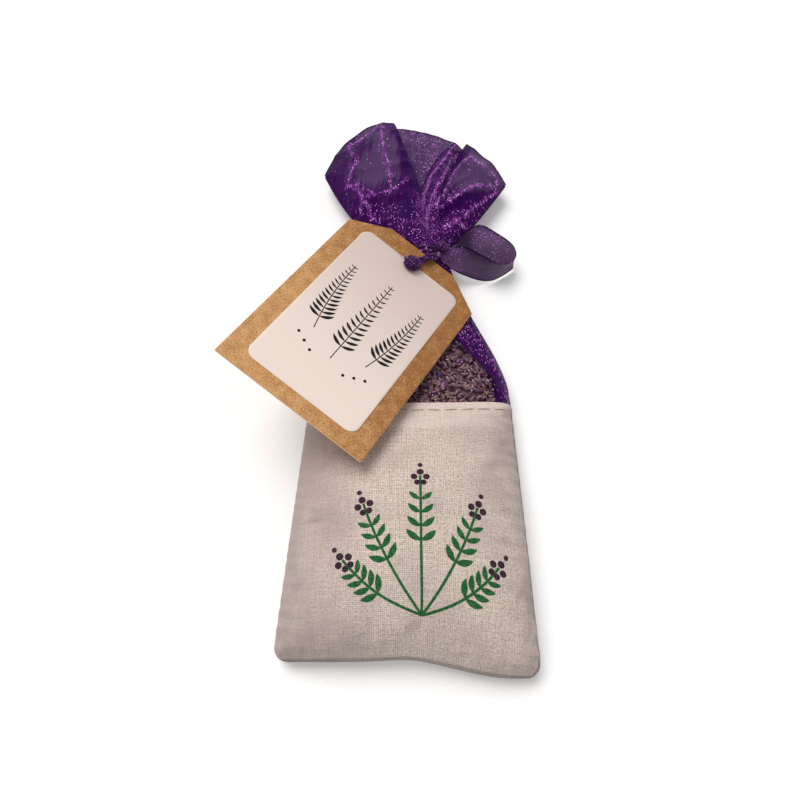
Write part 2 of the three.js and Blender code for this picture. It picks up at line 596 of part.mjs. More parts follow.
function makeLoop() {
  const rootX = NECK_SHIFT + wrapHalfWidth + WRAP_THICKNESS + CLOTH_GAP;
  const lean = degToRad(LOOP_LEAN);
  const widthWay = new THREE.Vector3(0, Math.sin(lean), Math.cos(lean));
  const middle = (turn) =>
    new THREE.Vector3(
      rootX + LOOP_LENGTH * Math.sin(Math.PI * turn),
      yNeck - LOOP_HALF_GAP * Math.sin(2 * Math.PI * turn) - LOOP_ROOT_HALF_GAP * Math.cos(Math.PI * turn),
      LOOP_HEIGHT,
    );
  const layer = (side) =>
    spaced(0, 1, 38).map((turn) => {
      const ahead = middle(turn + 0.005).sub(middle(turn - 0.005));
      const out = ahead.cross(widthWay).normalize().multiplyScalar((side * RIBBON_THICKNESS) / 2);
      const spread = smoothstep(Math.min(turn, 1 - turn), 0, 0.2);
      const half = lerp(LOOP_ROOT_WIDTH, RIBBON_WIDTH, spread) / 2;
      return [-1, 0, 1].map((edge) => middle(turn).add(out).addScaledVector(widthWay, edge * half));
    });
  addPiece("ribbon_loop", solidBetween(layer(1), layer(-1)), ribbon);
}

// Tag: card, label and tie share one frame, with its origin at the hole, +Y to the top edge, +Z off the face

function tagOutline() {
  const [half, top, foot] = [TAG_WIDTH / 2, HOLE_INSET, HOLE_INSET - TAG_LENGTH];
  return [
    [-half, foot],
    [half, foot],
    [half, top - TAG_CHAMFER_DOWN],
    [half - TAG_CHAMFER_ACROSS, top],
    [TAG_CHAMFER_ACROSS - half, top],
    [-half, top - TAG_CHAMFER_DOWN],
  ].map(([x, y]) => new THREE.Vector2(x, y));
}

const holePath = (radius) => new THREE.Path().absarc(0, 0, radius, 0, 2 * Math.PI, true);

function makeCard(tag) {
  const shape = new THREE.Shape(tagOutline());
  shape.holes.push(holePath(HOLE_RADIUS));
  const settings = { depth: TAG_THICKNESS, bevelEnabled: false, curveSegments: 24 };
  const geometry = new THREE.ExtrudeGeometry(shape, settings);
  geometry.translate(0, 0, -TAG_THICKNESS / 2);
  addPiece("kraft_tag", geometry, kraft, tag);
}

// The label's top edge runs through the hole, so the hole bites a round notch out of it.
function makeLabel(tag) {
  const half = LABEL_WIDTH / 2;
  const foot = HOLE_INSET - TAG_LENGTH + LABEL_BOTTOM_MARGIN;
  const top = foot + LABEL_LENGTH;
  const [r, quarter] = [LABEL_RADIUS, Math.PI / 2];
  const notch = HOLE_RADIUS + GLUE_GAP;
  const bite = Math.asin(clamp(top / notch, -1, 1));
  const shape = new THREE.Shape();
  shape.absarc(-half + r, foot + r, r, 2 * quarter, 3 * quarter);
  shape.absarc(half - r, foot + r, r, 3 * quarter, 4 * quarter);
  shape.absarc(half - r, top - r, r, 0, quarter);
  if (Math.abs(top) < notch) shape.absarc(0, 0, notch, bite, -2 * quarter - bite, true);
  shape.absarc(-half + r, top - r, r, quarter, 2 * quarter);
  const settings = { depth: LABEL_THICKNESS, bevelEnabled: false, curveSegments: 8 };
  const geometry = new THREE.ExtrudeGeometry(shape, settings);
  geometry.translate(0, 0, TAG_THICKNESS / 2 + GLUE_GAP);
  addPiece("tag_label", geometry, paper, tag);
}

// The tie is a long ring of bunched ribbon: one end passes through the hole, the other is the hinge.
function makeTie(tag) {
  const geometry = new THREE.TorusGeometry(TIE_HALF_GAP, TIE_RADIUS, 8, 20);
  const position = geometry.getAttribute("position");
  for (let i = 0; i < position.count; i++) {
    const y = position.getY(i) + (position.getY(i) > 0 ? TIE_REACH : TIE_HALF_GAP);
    position.setY(i, y);
    position.setZ(i, position.getZ(i) + (TIE_LEAN * y) / TIE_REACH);
  }
  addPiece("tag_tie", geometry, ribbon, tag).rotation.y = Math.PI / 2;
}

function makeTag() {
  const tag = new THREE.Group();
  tag.rotation.set(degToRad(TAG_PITCH), degToRad(TAG_ROLL), degToRad(TAG_HEADING), "ZXY");
  tag.position.set(NECK_SHIFT - HOLE_LEFT_OF_NECK, yNeck - HOLE_BEFORE_NECK, 0);
  tag.position.z = restHeight(tag);
  sachet.add(tag);
  makeCard(tag);
  makeLabel(tag);
  makeTie(tag);
  return tag;
}

// Height of the tag's hole at which the card just clears the cloth under it.
function restHeight(tag) {
  tag.updateMatrix();
  const normal = new THREE.Vector3(0, 0, 1).applyQuaternion(tag.quaternion);
  const back = tag.matrix.clone().invert();
  let height = 0;
  for (const y of spaced(yBottom, yNeck, 60)) {
    for (const angle of halfTurn(40)) {
      const cloth = bagFront(angle, y);
      const [dx, dy] = [cloth.x - tag.position.x, cloth.y - tag.position.y];
      const plane = -(normal.x * dx + normal.y * dy) / normal.z;
      const onTag = cloth.clone().setZ(plane).applyMatrix4(back);
      const below = HOLE_INSET - onTag.y; // distance from the tag's top edge
      const under = Math.abs(onTag.x) < TAG_WIDTH / 2 && below > 0 && below < TAG_LENGTH;
      if (under) height = Math.max(height, cloth.z - plane);
    }
  }
  return height + (TAG_THICKNESS / 2 + TAG_REST_GAP) / normal.z;
}

// The knot sits on the wrap, at the end of the tie, and is as tall as the tie needs.
function makeKnot(tag) {
  const hinge = tag.localToWorld(new THREE.Vector3(TIE_LEAN, TIE_REACH, 0));
  const away = new THREE.Vector3(0, 1, 0).applyQuaternion(tag.quaternion).setZ(0).normalize();
  const reach = TIE_HALF_GAP + TIE_RADIUS + CLOTH_GAP + KNOT_RADIUS;
  const knotPlace = hinge.clone().addScaledVector(away, reach);
  const foot = wrapTopAt(knotPlace.x - KNOT_RADIUS / 2) + CLOTH_GAP;
  const halfHeight = (hinge.z + TIE_RADIUS - foot) / 2;
  const geometry = new THREE.SphereGeometry(KNOT_RADIUS, 16, 10);
  geometry.rotateX(Math.PI / 2).scale(1, 1, halfHeight / KNOT_RADIUS);
  addPiece("ribbon_knot", geometry, ribbon).position.copy(knotPlace.setZ(foot + halfHeight));
}

makeCotton();
makeOrganza();
makeThread();
makeLavender();
makeWrap();
makeLoop();
const tag = makeTag();
tag.updateMatrixWorld(true);
makeKnot(tag);

export default sachet;
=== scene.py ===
# %% [markdown]
# # A lavender sachet
# A small cotton pocket stuffed with dried lavender. Its upper part is sheer purple organza, gathered at
# a neck with ribbon and fanned out above it. A card tag hangs on the ribbon.
# The solids of the sachet come first, as a fixed frame. Every surface that shows is then made anew
# around them, in the same place and at the same size.

# %% Load the frame
import json

import bmesh
import bpy
import numpy as np
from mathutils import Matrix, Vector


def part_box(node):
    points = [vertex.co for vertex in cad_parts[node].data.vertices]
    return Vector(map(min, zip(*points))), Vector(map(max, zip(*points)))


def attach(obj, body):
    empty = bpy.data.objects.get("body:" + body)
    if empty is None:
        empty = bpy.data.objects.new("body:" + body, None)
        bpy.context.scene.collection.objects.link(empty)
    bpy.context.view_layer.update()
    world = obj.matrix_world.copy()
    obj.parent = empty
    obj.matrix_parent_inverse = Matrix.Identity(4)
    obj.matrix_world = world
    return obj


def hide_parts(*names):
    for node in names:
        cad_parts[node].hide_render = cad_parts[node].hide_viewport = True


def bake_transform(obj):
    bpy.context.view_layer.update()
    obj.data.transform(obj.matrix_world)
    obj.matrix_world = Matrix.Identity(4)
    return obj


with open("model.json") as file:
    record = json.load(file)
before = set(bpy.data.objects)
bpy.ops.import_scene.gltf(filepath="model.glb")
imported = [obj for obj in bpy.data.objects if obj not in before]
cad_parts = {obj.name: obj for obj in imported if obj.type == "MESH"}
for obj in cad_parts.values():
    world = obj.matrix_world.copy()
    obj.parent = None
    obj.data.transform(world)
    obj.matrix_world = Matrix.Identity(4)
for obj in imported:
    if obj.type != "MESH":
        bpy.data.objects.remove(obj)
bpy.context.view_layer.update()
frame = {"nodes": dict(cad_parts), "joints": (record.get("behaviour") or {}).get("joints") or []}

# %% [markdown]
# ## Camera
# The photograph looks down on the sachet, 66 degrees below the horizon, from about 20 cm above the table.
# Its place was found from the corners of the tag's label, which is taken to be of a stock size. A camera
# set by eye would look much the same, but no length could then be read from the picture.

# %% Camera
MM = 0.001  # metres in a millimetre: the shapes below are in millimetres
CAMERA_PLACE = (-2.6, -49.4, 207.6)
CAMERA_DOWN = 66  # degrees below the horizon
FOCAL_SHARE = 700 / 800  # focal length over the picture's width
SENSOR = 36


def make_camera():
    """A camera at its place, tipped about x from straight down by 90 degrees less its angle."""
    data = bpy.data.cameras.new("photo_camera")
    data.sensor_width = SENSOR
    data.lens = SENSOR * FOCAL_SHARE
    data.clip_start = 5 * MM
    camera = bpy.data.objects.new("photo_camera", data)
    camera.location = np.array(CAMERA_PLACE) * MM
    camera.rotation_euler = (np.radians(90 - CAMERA_DOWN), 0, 0)
    bpy.context.scene.collection.objects.link(camera)
    bpy.context.scene.camera = camera
    return camera


print("camera lens:", round(make_camera().data.lens, 2), "mm")

# %% [markdown]
# ## The sachet's own curves
# Cloth follows what it holds, so all the cloth here starts from the same few curves along the bag:
# how wide it is, how high it stands and where its side seams run. They are the curves of the solids.

# %% Sizes of the bag, in millimetres
POCKET_LENGTH = 75.5
BOTTOM_WIDTH = 72.8
HEM_WIDTH = 63.8
BOTTOM_SHIFT = -0.85
HEM_SHIFT = 0.5
CORNER_RADIUS = 4
POCKET_CROWN = 22.5
BOTTOM_ROUNDING = 26
SEAM_HEIGHT = 4.5
HEM_DEPTH = 8.4
HEM_CROWN = 16
HEM_DIP = 3
HEM_LIFT = 1.4
FLAT_MARGIN = 10
FULLNESS = 0.8  # under 1 the crown is squarer than an ellipse
NECK_DISTANCE = 56
NECK_SHIFT = 8
NECK_HALF_WIDTH = 6
NECK_HALF_HEIGHT = 3.8
NECK_LIFT = 2
SEAM_GAP = 0.3  # between the two panels at a seam

Y_BOTTOM = -POCKET_LENGTH / 2
Y_HEM = POCKET_LENGTH / 2
Y_NECK = Y_HEM + NECK_DISTANCE
NECK_Z = NECK_LIFT + NECK_HALF_HEIGHT


def lerp(start, end, share):
    """The straight mix: start + (end - start) x share."""
    return start + (end - start) * share


def smoothstep(x, low, high):
    """0 below low, 1 above high, and an S-curve between them."""
    t = np.clip((x - low) / (high - low), 0, 1)
    return t * t * (3 - 2 * t)


def bell(distance, reach):
    """1 in the middle, fading on both sides within its reach."""
    return np.exp(-((distance / reach) ** 2))


def stacked(*parts):
    """Arrays of matching shapes as the coordinates of one array of points."""
    return np.stack(np.broadcast_arrays(*parts), axis=-1)


def arch_angles(count):
    """A row of angles from the left seam over the top to the right seam."""
    return np.linspace(-np.pi / 2, np.pi / 2, count)[None, :]


def level_share(angle):
    """How high an arch stands at an angle: the cosine, never below 0."""
    return np.maximum(np.cos(angle), 0)


# %% Curves along the bag
def towards_neck(y):
    """0 at the hem, 1 at the neck, and an S-curve between them."""
    return smoothstep(y, Y_HEM, Y_NECK)


def swell(y, rounding=BOTTOM_ROUNDING):
    """A quarter circle: 0 at the bottom edge, 1 once the bag has swollen."""
    short = 1 - np.clip((y - Y_BOTTOM) / rounding, 0, 1)
    return np.sqrt(1 - short**2)


def half_width(y):
    """Straight sides, less a quarter circle at the corners, then an S-curve in to the neck."""
    above = lerp(HEM_WIDTH / 2, NECK_HALF_WIDTH, towards_neck(y))
    straight = lerp(BOTTOM_WIDTH, HEM_WIDTH, (y - Y_BOTTOM) / POCKET_LENGTH) / 2
    return np.where(y > Y_HEM, above, straight - CORNER_RADIUS * (1 - swell(y, CORNER_RADIUS)))


def middle_x(y):
    """The bag's middle line: a straight slant up the pocket, then an S-curve over to the neck."""
    pocket = lerp(BOTTOM_SHIFT, HEM_SHIFT, (y - Y_BOTTOM) / POCKET_LENGTH)
    return np.where(y > Y_HEM, lerp(HEM_SHIFT, NECK_SHIFT, towards_neck(y)), pocket)


def seam_z(y):
    """Height of the side seams: level along the pocket, then an S-curve to the neck's middle."""
    return lerp(SEAM_HEIGHT, NECK_Z, towards_neck(y))


def crown_z(y):
    """Height of the top: S-curves from crown to hem and hem to neck, times the swelling."""
    pocket = lerp(POCKET_CROWN, HEM_CROWN, smoothstep(y, 0, Y_HEM))
    top = lerp(pocket, NECK_Z + NECK_HALF_HEIGHT, towards_neck(y))
    return lerp(SEAM_HEIGHT, top, swell(y))


def underside_z(y):
    """Height of the underside: on the table, then up in S-curves at the hem and to the neck."""
    lifted = lerp(0, HEM_LIFT, smoothstep(y, Y_HEM - FLAT_MARGIN, Y_HEM - HEM_DEPTH / 2))
    return lerp(lifted, NECK_LIFT, towards_neck(y))


solid_end = [round(x / MM, 1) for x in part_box("cotton_front_panel")[1]]
print("pocket", POCKET_LENGTH, "mm long, its front's solid ends at", solid_end)

# %% [markdown]
# The bottom edge of a filled pocket never lies straight. Here its right end hangs lower and its middle is
# pushed in a little. The front's hem is drawn back where it climbs over the filling, and a few soft dents
# show where the filling gives way.

# %% Edges and dents
BOTTOM_LIFT = 0.7
BOTTOM_HANG = 4.2
HANG_FULL = 0.9  # share of the half width past which the right end hangs lowest
ARCH_PLACE = -0.02  # as a share of the half width
ARCH_REACH = 0.25
ARCH_IN = 0.5
ARCH_UP = 0.8
ARCH_FADE = 22  # length over which the arch fades into the pocket
DENT_DEPTH = 1.1
DENT_REACH = 9
# Places of the dents, as shares of the half width and of the length
DENTS = [(0.62, 0.5), (-0.68, 0.42), (0.58, 0.8), (-0.3, 0.16), (0.38, 0.2)]
UNDERSIDE_MARGIN = 16  # length over which the underside turns down from the bottom edge
UNDERSIDE_TURN = 1.5  # over 1 that turn ends sooner
UNDERSIDE_SPREAD = 1.7  # over 1 the underside is flat for more of its width


def bottom_arch(across, y):
    """A bell-shaped bump along the bottom edge, fading up the pocket."""
    return bell(across - ARCH_PLACE, ARCH_REACH) * (1 - smoothstep(y, Y_BOTTOM, Y_BOTTOM + ARCH_FADE))


def plan_y(y, across, side):
    """Place along the bag: the bottom's hang times the square of the way down, less the hem's parabola."""
    fade = 1 - np.clip((y - Y_BOTTOM) / POCKET_LENGTH, 0, 1)
    hang = BOTTOM_LIFT - BOTTOM_HANG * smoothstep(across, 0, HANG_FULL)
    near_hem = smoothstep(y, 0, Y_HEM) * (1 - towards_neck(y))
    dip = HEM_DIP * (1 - across**2) * near_hem if side > 0 else 0
    return y + hang * fade**2 + ARCH_IN * bottom_arch(across, y) - dip


def dent_at(x, y):
    """Depth of the dents: bells about their places, gone before the hem."""
    total = 0
    for aside, along in DENTS:
        place_y = Y_BOTTOM + along * POCKET_LENGTH
        place_x = middle_x(place_y) + aside * half_width(place_y)
        total = total + bell(np.hypot(x - place_x, y - place_y), DENT_REACH)
    return DENT_DEPTH * total * (1 - smoothstep(y, Y_HEM - 2 * HEM_DEPTH, Y_HEM - HEM_DEPTH))


def bag_front(angle, y):
    """Half an ellipse-like arch over the filling: sine across, cosine to a power upwards."""
    across = np.sin(angle)
    rise = level_share(angle) ** FULLNESS
    x = middle_x(y) + half_width(y) * across
    z = seam_z(y) + SEAM_GAP / 2 + (crown_z(y) - seam_z(y)) * rise - dent_at(x, y) * rise * swell(y)
    edge_up = ARCH_UP * bottom_arch(across, y) * (1 - rise * swell(y))
    return stacked(x, plan_y(y, across, 1), z + edge_up)


def bag_back(angle, y):
    """The same arch turned down, cut off flat where it lies on the table."""
    across = np.sin(angle)
    edge = np.minimum(1, UNDERSIDE_TURN * swell(y, UNDERSIDE_MARGIN))
    flatness = lerp(UNDERSIDE_SPREAD, 1, towards_neck(y))
    drop = np.minimum(1, flatness * level_share(angle) * edge)
    x = middle_x(y) + half_width(y) * across
    z = seam_z(y) - lerp(SEAM_GAP / 2, seam_z(y) - underside_z(y), drop)
    edge_up = ARCH_UP * bottom_arch(across, y) * (1 - drop)
    return stacked(x, plan_y(y, across, -1), z + edge_up)


# %% [markdown]
# ## From a grid of points to a mesh
# Each piece is a grid: rows by columns of points. Neighbouring points make four-sided faces.
# Where a grid closes on itself, or shrinks to a point, its doubled points are merged, which leaves the
# surface without holes. A map in millimetres goes with each grid, for weaves and stitches.


# %% Grid helpers
def grid_faces(rows, columns):
    """Four corners for each face: a point, the next one, and those two in the row above."""
    row, column = np.meshgrid(np.arange(rows - 1), np.arange(columns - 1), indexing="ij")
    first = (row * columns + column).ravel()
    return np.stack([first, first + 1, first + columns + 1, first + columns], axis=-1)


def unit(vectors):
    """Vectors over their own lengths."""
    return vectors / np.maximum(np.linalg.norm(vectors, axis=-1, keepdims=True), 1e-9)


def grid_normals(points):
    """Unit normals: the cross product of the steps along the columns and along the rows."""
    return unit(np.cross(np.gradient(points, axis=1), np.gradient(points, axis=0)))


def lengths_along(points, axis):
    """Distance run along the rows or columns of a grid, from its start."""
    steps = np.linalg.norm(np.diff(points, axis=axis), axis=-1)
    start = np.zeros_like(np.take(steps, [0], axis=axis))
    return np.concatenate([start, np.cumsum(steps, axis=axis)], axis=axis)


def cloth_map(points):
    """Millimetres across, from the middle column, and along, averaged so that the weave stays straight."""
    across = lengths_along(points, 1)
    across = across - across[:, [points.shape[1] // 2]]
    along = lengths_along(points, 0).mean(axis=1, keepdims=True)
    return stacked(across, along)


def mesh_of(name, points, faces, uv=None, values=None, flip=False):
    """A mesh from points in millimetres, with a map and named values for its material."""
    mesh = bpy.data.meshes.new(name)
    order = faces[:, ::-1] if flip else faces
    mesh.vertices.add(len(points))
    mesh.vertices.foreach_set("co", (points * MM).astype(np.float32).ravel())
    mesh.loops.add(order.size)
    mesh.loops.foreach_set("vertex_index", order.astype(np.int32).ravel())
    mesh.polygons.add(len(order))
    mesh.polygons.foreach_set("loop_start", np.arange(0, order.size, order.shape[1], dtype=np.int32))
    mesh.polygons.foreach_set("use_smooth", np.ones(len(order), dtype=bool))
    mesh.update(calc_edges=True)
    if uv is not None:
        mesh.uv_layers.new(name="cloth").data.foreach_set("uv", uv[order].astype(np.float32).ravel())
    for key, value in (values or {}).items():
        attribute = mesh.attributes.new(key, "FLOAT", "POINT")
        attribute.data.foreach_set("value", value.astype(np.float32).ravel())
    return mesh


def merge_doubles(mesh, within=1e-7):
    """Points in one place become one, and faces without area go."""
    shape = bmesh.new()
    shape.from_mesh(mesh)
    bmesh.ops.remove_doubles(shape, verts=shape.verts, dist=within)
    bmesh.ops.dissolve_degenerate(shape, edges=shape.edges, dist=within)
    shape.to_mesh(mesh)
    shape.free()


def grid_piece(name, points, material, uv=None, values=None, flip=False, merge=False):
    """An object made of one grid of points."""
    rows, columns = points.shape[:2]
    flat_uv = None if uv is None else uv.reshape(-1, 2)
    mesh = mesh_of(name, points.reshape(-1, 3), grid_faces(rows, columns), flat_uv, values, flip)
    return add_piece(name, mesh, material, merge)


def add_piece(name, mesh, material, merge=False):
    """An object at the origin from a mesh that already has its place."""
    if merge:
        merge_doubles(mesh)
    mesh.materials.append(material)
    piece = bpy.data.objects.new(name, mesh)
    bpy.context.scene.collection.objects.link(piece)
    print(f"{name}: {len(mesh.polygons)} faces")
    return piece


def thicken(piece, thickness):
    """A wall of that many millimetres, added on the inner side."""
    solidify = piece.modifiers.new("thickness", "SOLIDIFY")
    solidify.thickness = thickness * MM
    solidify.offset = -1
    solidify.use_even_offset = False


def belongs(piece, body, slot, *nodes):
    """The piece rides on a body and stands for the solids named, which are hidden. Its slot is not used."""
    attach(piece, body)
    if nodes:
        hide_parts(*nodes)
    return piece


# %% [markdown]
# Crumples are not random: the same seed draws the same cloth each time. A smooth noise is made from a
# few waves of different direction and length, which costs nothing and has no grid of its own.

# %% Smooth noise
draw = np.random.default_rng(29)


def waves(u, v, size, count=9):
    """Sum of cosine waves about `size` long, in drawn directions: smooth and between about -1 and 1."""
    total = np.zeros(np.broadcast(u, v).shape)
    for turn, phase, stretch in draw.uniform((0, 0, 0.7), (np.pi, 2 * np.pi, 1.5), (count, 3)):
        way = (u * np.cos(turn) + v * np.sin(turn)) * 2 * np.pi / (size * stretch)
        total += np.cos(way + phase)
    return total / np.sqrt(2 * count)


# %% [markdown]
# ## Finishes
# A finish is a chain of nodes that ends in one Principled shader. These small helpers add a node, join
# its inputs and return its output, so that a finish reads from top to bottom.


# %% Node helpers
def new_finish(name, **sockets):
    """A material with one Principled shader, whose plain numbers and colours are set on it directly."""
    material = bpy.data.materials.new(name)
    material.use_nodes = True
    tree = material.node_tree
    shader = tree.nodes["Principled BSDF"]
    for socket, value in sockets.items():
        shader.inputs[socket.replace("_", " ")].default_value = value
    print("finish:", name)
    return material, tree, shader


def node(tree, kind, inputs=None, output=0, **settings):
    """Adds a node, sets it up, joins or sets its inputs, and returns one of its outputs."""
    made = tree.nodes.new("ShaderNode" + kind)
    for key, value in settings.items():
        setattr(made, key, value)
    for socket, value in (inputs or {}).items():
        if isinstance(value, bpy.types.NodeSocket):
            tree.links.new(value, made.inputs[socket])
        else:
            made.inputs[socket].default_value = value
    return made.outputs[output]


def maths(tree, operation, first, second=0.5):
    """One sum on two values."""
    return node(tree, "Math", {0: first, 1: second}, operation=operation)


def times(tree, first, second):
    """The product of two values."""
    return maths(tree, "MULTIPLY", first, second)


def plus(tree, first, second):
    """Two values added."""
    return maths(tree, "ADD", first, second)


def ramp(tree, value, low, high, start=0.0, end=1.0):
    """Maps low..high to start..end with a smooth curve, and holds beyond them."""
    inputs = {"Value": value, "From Min": low, "From Max": high, "To Min": start, "To Max": end}
    return node(tree, "MapRange", inputs, interpolation_type="SMOOTHSTEP")


def blend(tree, share, first, second):
    """Mixes two colours."""
    return node(tree, "Mix", {0: share, 6: first, 7: second}, output=2, data_type="RGBA")


def cloudy(tree, vector, scale, detail=2.0, roughness=0.5):
    """Soft noise between 0 and 1."""
    inputs = {"Vector": vector, "Scale": scale, "Detail": detail, "Roughness": roughness}
    return node(tree, "TexNoise", inputs)


def stretched(tree, vector, scale):
    """The same place, with each direction scaled by itself."""
    return node(tree, "Mapping", {"Vector": vector, "Scale": scale})


def cloth_place(tree):
    """The piece's own map, in millimetres."""
    return node(tree, "UVMap", uv_map="cloth")


def value_of(tree, name):
    """A value stored on the mesh's points."""
    return node(tree, "Attribute", output=2, attribute_name=name)


def bumped(tree, height, strength, depth):
    """A normal bent by a height, whose full range is `depth` millimetres."""
    return node(tree, "Bump", {"Height": height, "Strength": strength, "Distance": depth * MM})


def rgb(red, green, blue):
    """A colour as it is seen on a screen, 0 to 255, as the light it stands for."""
    seen = np.array([red, green, blue]) / 255
    light = np.where(seen <= 0.04045, seen / 12.92, ((seen + 0.055) / 1.055) ** 2.4)
    return (*light, 1.0)


# %% [markdown]
# ### Cotton
# The pocket is plain-woven cotton: each thread goes over one and under the next, about two threads to
# a millimetre. The weave is worked out from the cloth's own map, so it bends with the cloth.
# Hand-spun slubs make some threads fatter, as long streaks one way and the other.

# %% Plain weave
YARN_PITCH = 0.5


def plain_weave(tree, place):
    """Height of a plain weave: over and under yarns swap like a chessboard's squares."""
    parts = tree.nodes.new("ShaderNodeSeparateXYZ")
    tree.links.new(place, parts.inputs[0])
    across = maths(tree, "DIVIDE", parts.outputs[0], YARN_PITCH)
    along = maths(tree, "DIVIDE", parts.outputs[1], YARN_PITCH)
    warp = maths(tree, "ABSOLUTE", maths(tree, "SINE", times(tree, across, np.pi)))
    weft = maths(tree, "ABSOLUTE", maths(tree, "SINE", times(tree, along, np.pi)))
    squares = plus(tree, maths(tree, "FLOOR", across), maths(tree, "FLOOR", along))
    over = maths(tree, "FLOORED_MODULO", squares, 2.0)
    return node(tree, "Mix", {0: over, 2: warp, 3: weft}, data_type="FLOAT")


def slubs(tree, place):
    """Streaks along both threads: noise drawn out one way and then the other."""
    upright = cloudy(tree, stretched(tree, place, (2.2, 0.12, 1)), 1.0, 3)
    level = cloudy(tree, stretched(tree, place, (0.12, 2.2, 1)), 1.0, 3)
    return plus(tree, times(tree, upright, 0.5), times(tree, level, 0.5))


# %% Cotton finish
COTTON_PALE = rgb(234, 217, 206)
COTTON_DEEP = rgb(154, 139, 132)
COTTON_SHADE = rgb(168, 151, 148)
COTTON_EDGE_SHADE = rgb(66, 56, 54)
HEM_PALE = rgb(232, 217, 208)


def cotton_finish():
    """Plain weave with slubs, paler where the hem is double, darker by the painted shade stored on the mesh
    and along its edges and seams.
    """
    settings = {"Roughness": 0.95, "Sheen_Weight": 0.1, "Specular_IOR_Level": 0.15}
    material, tree, shader = new_finish("cotton_weave", **settings)
    place = cloth_place(tree)
    weave = plain_weave(tree, place)
    streaks = slubs(tree, place)
    grain = cloudy(tree, place, 1.5, 3, 0.8)
    yarns = plus(tree, times(tree, weave, 0.4), times(tree, streaks, 0.75))
    lit = ramp(tree, plus(tree, yarns, times(tree, grain, 1.2)), 0.87, 1.53)
    base = blend(tree, lit, COTTON_DEEP, COTTON_PALE)
    base = blend(tree, times(tree, value_of(tree, "double"), 0.4), base, HEM_PALE)
    mottle = ramp(tree, cloudy(tree, place, 0.06, 2), 0.42, 0.7, 0.0, 0.4)
    shade = plus(tree, mottle, value_of(tree, "shade"))
    base = blend(tree, maths(tree, "MINIMUM", shade, 0.8), base, COTTON_SHADE)
    # painted shade on the walls of the right and bottom edges, and a painted shadow line along the seams
    base = blend(tree, value_of(tree, "edge"), base, COTTON_EDGE_SHADE)
    tree.links.new(base, shader.inputs["Base Color"])
    tree.links.new(bumped(tree, yarns, 0.5, 0.25), shader.inputs["Normal"])
    return material


cotton = cotton_finish()

# %% [markdown]
# ## The tag's plane
# The tag lies on the stuffed pocket, so the cloth under it must stay under it. The tag's own axes are
# needed before the cloth is shaped: along its width, along its length towards the hole, and off its face.

# %% Tag axes
TAG_WIDTH = 50.3
TAG_LENGTH = 75.3
TAG_THICKNESS = 0.5
HOLE_INSET = 6.9
UNDER_TAG = 0.3  # the least gap between the card and the cloth
tag_swing = next(joint for joint in frame["joints"] if joint["name"] == "tag_swing")
tie_lift = next(joint for joint in frame["joints"] if joint["name"] == "tie_lift")
HOLE_PLACE = np.array(tag_swing["pos_m"]) / MM
TAG_ACROSS = -np.array(tie_lift["axis"])
TAG_OUT = np.array(tag_swing["axis"])
TAG_UP = np.cross(TAG_OUT, TAG_ACROSS)
TAG_AXES = np.stack([TAG_ACROSS, TAG_UP, TAG_OUT])


def on_tag(local):
    """Points given along the tag's width, length and face, from the middle of its hole."""
    return HOLE_PLACE + local @ TAG_AXES


def keep_under_tag(points, margin=1.0):
    """Cloth that would rise through the card is pressed down to just below it."""
    local = (points - HOLE_PLACE) @ TAG_AXES.T
    inside = (np.abs(local[..., 0]) < TAG_WIDTH / 2 + margin) & (local[..., 1] < HOLE_INSET + margin)
    inside &= local[..., 1] > HOLE_INSET - TAG_LENGTH - margin
    above = np.maximum(local[..., 2] + TAG_THICKNESS / 2 + UNDER_TAG, 0) * inside
    return points - above[..., None] * TAG_OUT


print("tag's face looks along", TAG_OUT.round(3))

# %% [markdown]
# ## Cotton pocket
# The pocket's front is one panel of cotton: stuffed from inside, sewn down along three edges and folded
# over at the hem. A cloth simulation gives it what a formula lacks: cloth cut a little too large for
# its filling buckles between the seams. The panel is simulated twenty times as large as it is, because
# Blender's cloth is steadier at furniture size, and only its buckling is kept.

# %% Simulated buckling of the front
BUCKLE_ROWS = 56
BUCKLE_COLUMNS = 56
BUCKLE_CAP = 0.6  # most that a point may move, in millimetres
CLOTH_SCALE = 20
CLOTH_FRAMES = 20
CURVED_SHARE = 0.42  # share of a panel's rows that lie on its rounded bottom
EVEN_PASSES = 120  # rounds of smoothing that leave only the even swelling


def spaced_rows(count):
    """Places along the pocket: even steps round its curved bottom, then even steps to the hem."""
    curved = int(CURVED_SHARE * count)
    turn = np.linspace(0, np.pi / 2, curved)
    round_part = Y_BOTTOM + BOTTOM_ROUNDING * (1 - np.cos(turn))
    return np.concatenate([round_part, np.linspace(round_part[-1], Y_HEM, count - curved + 1)[1:]])


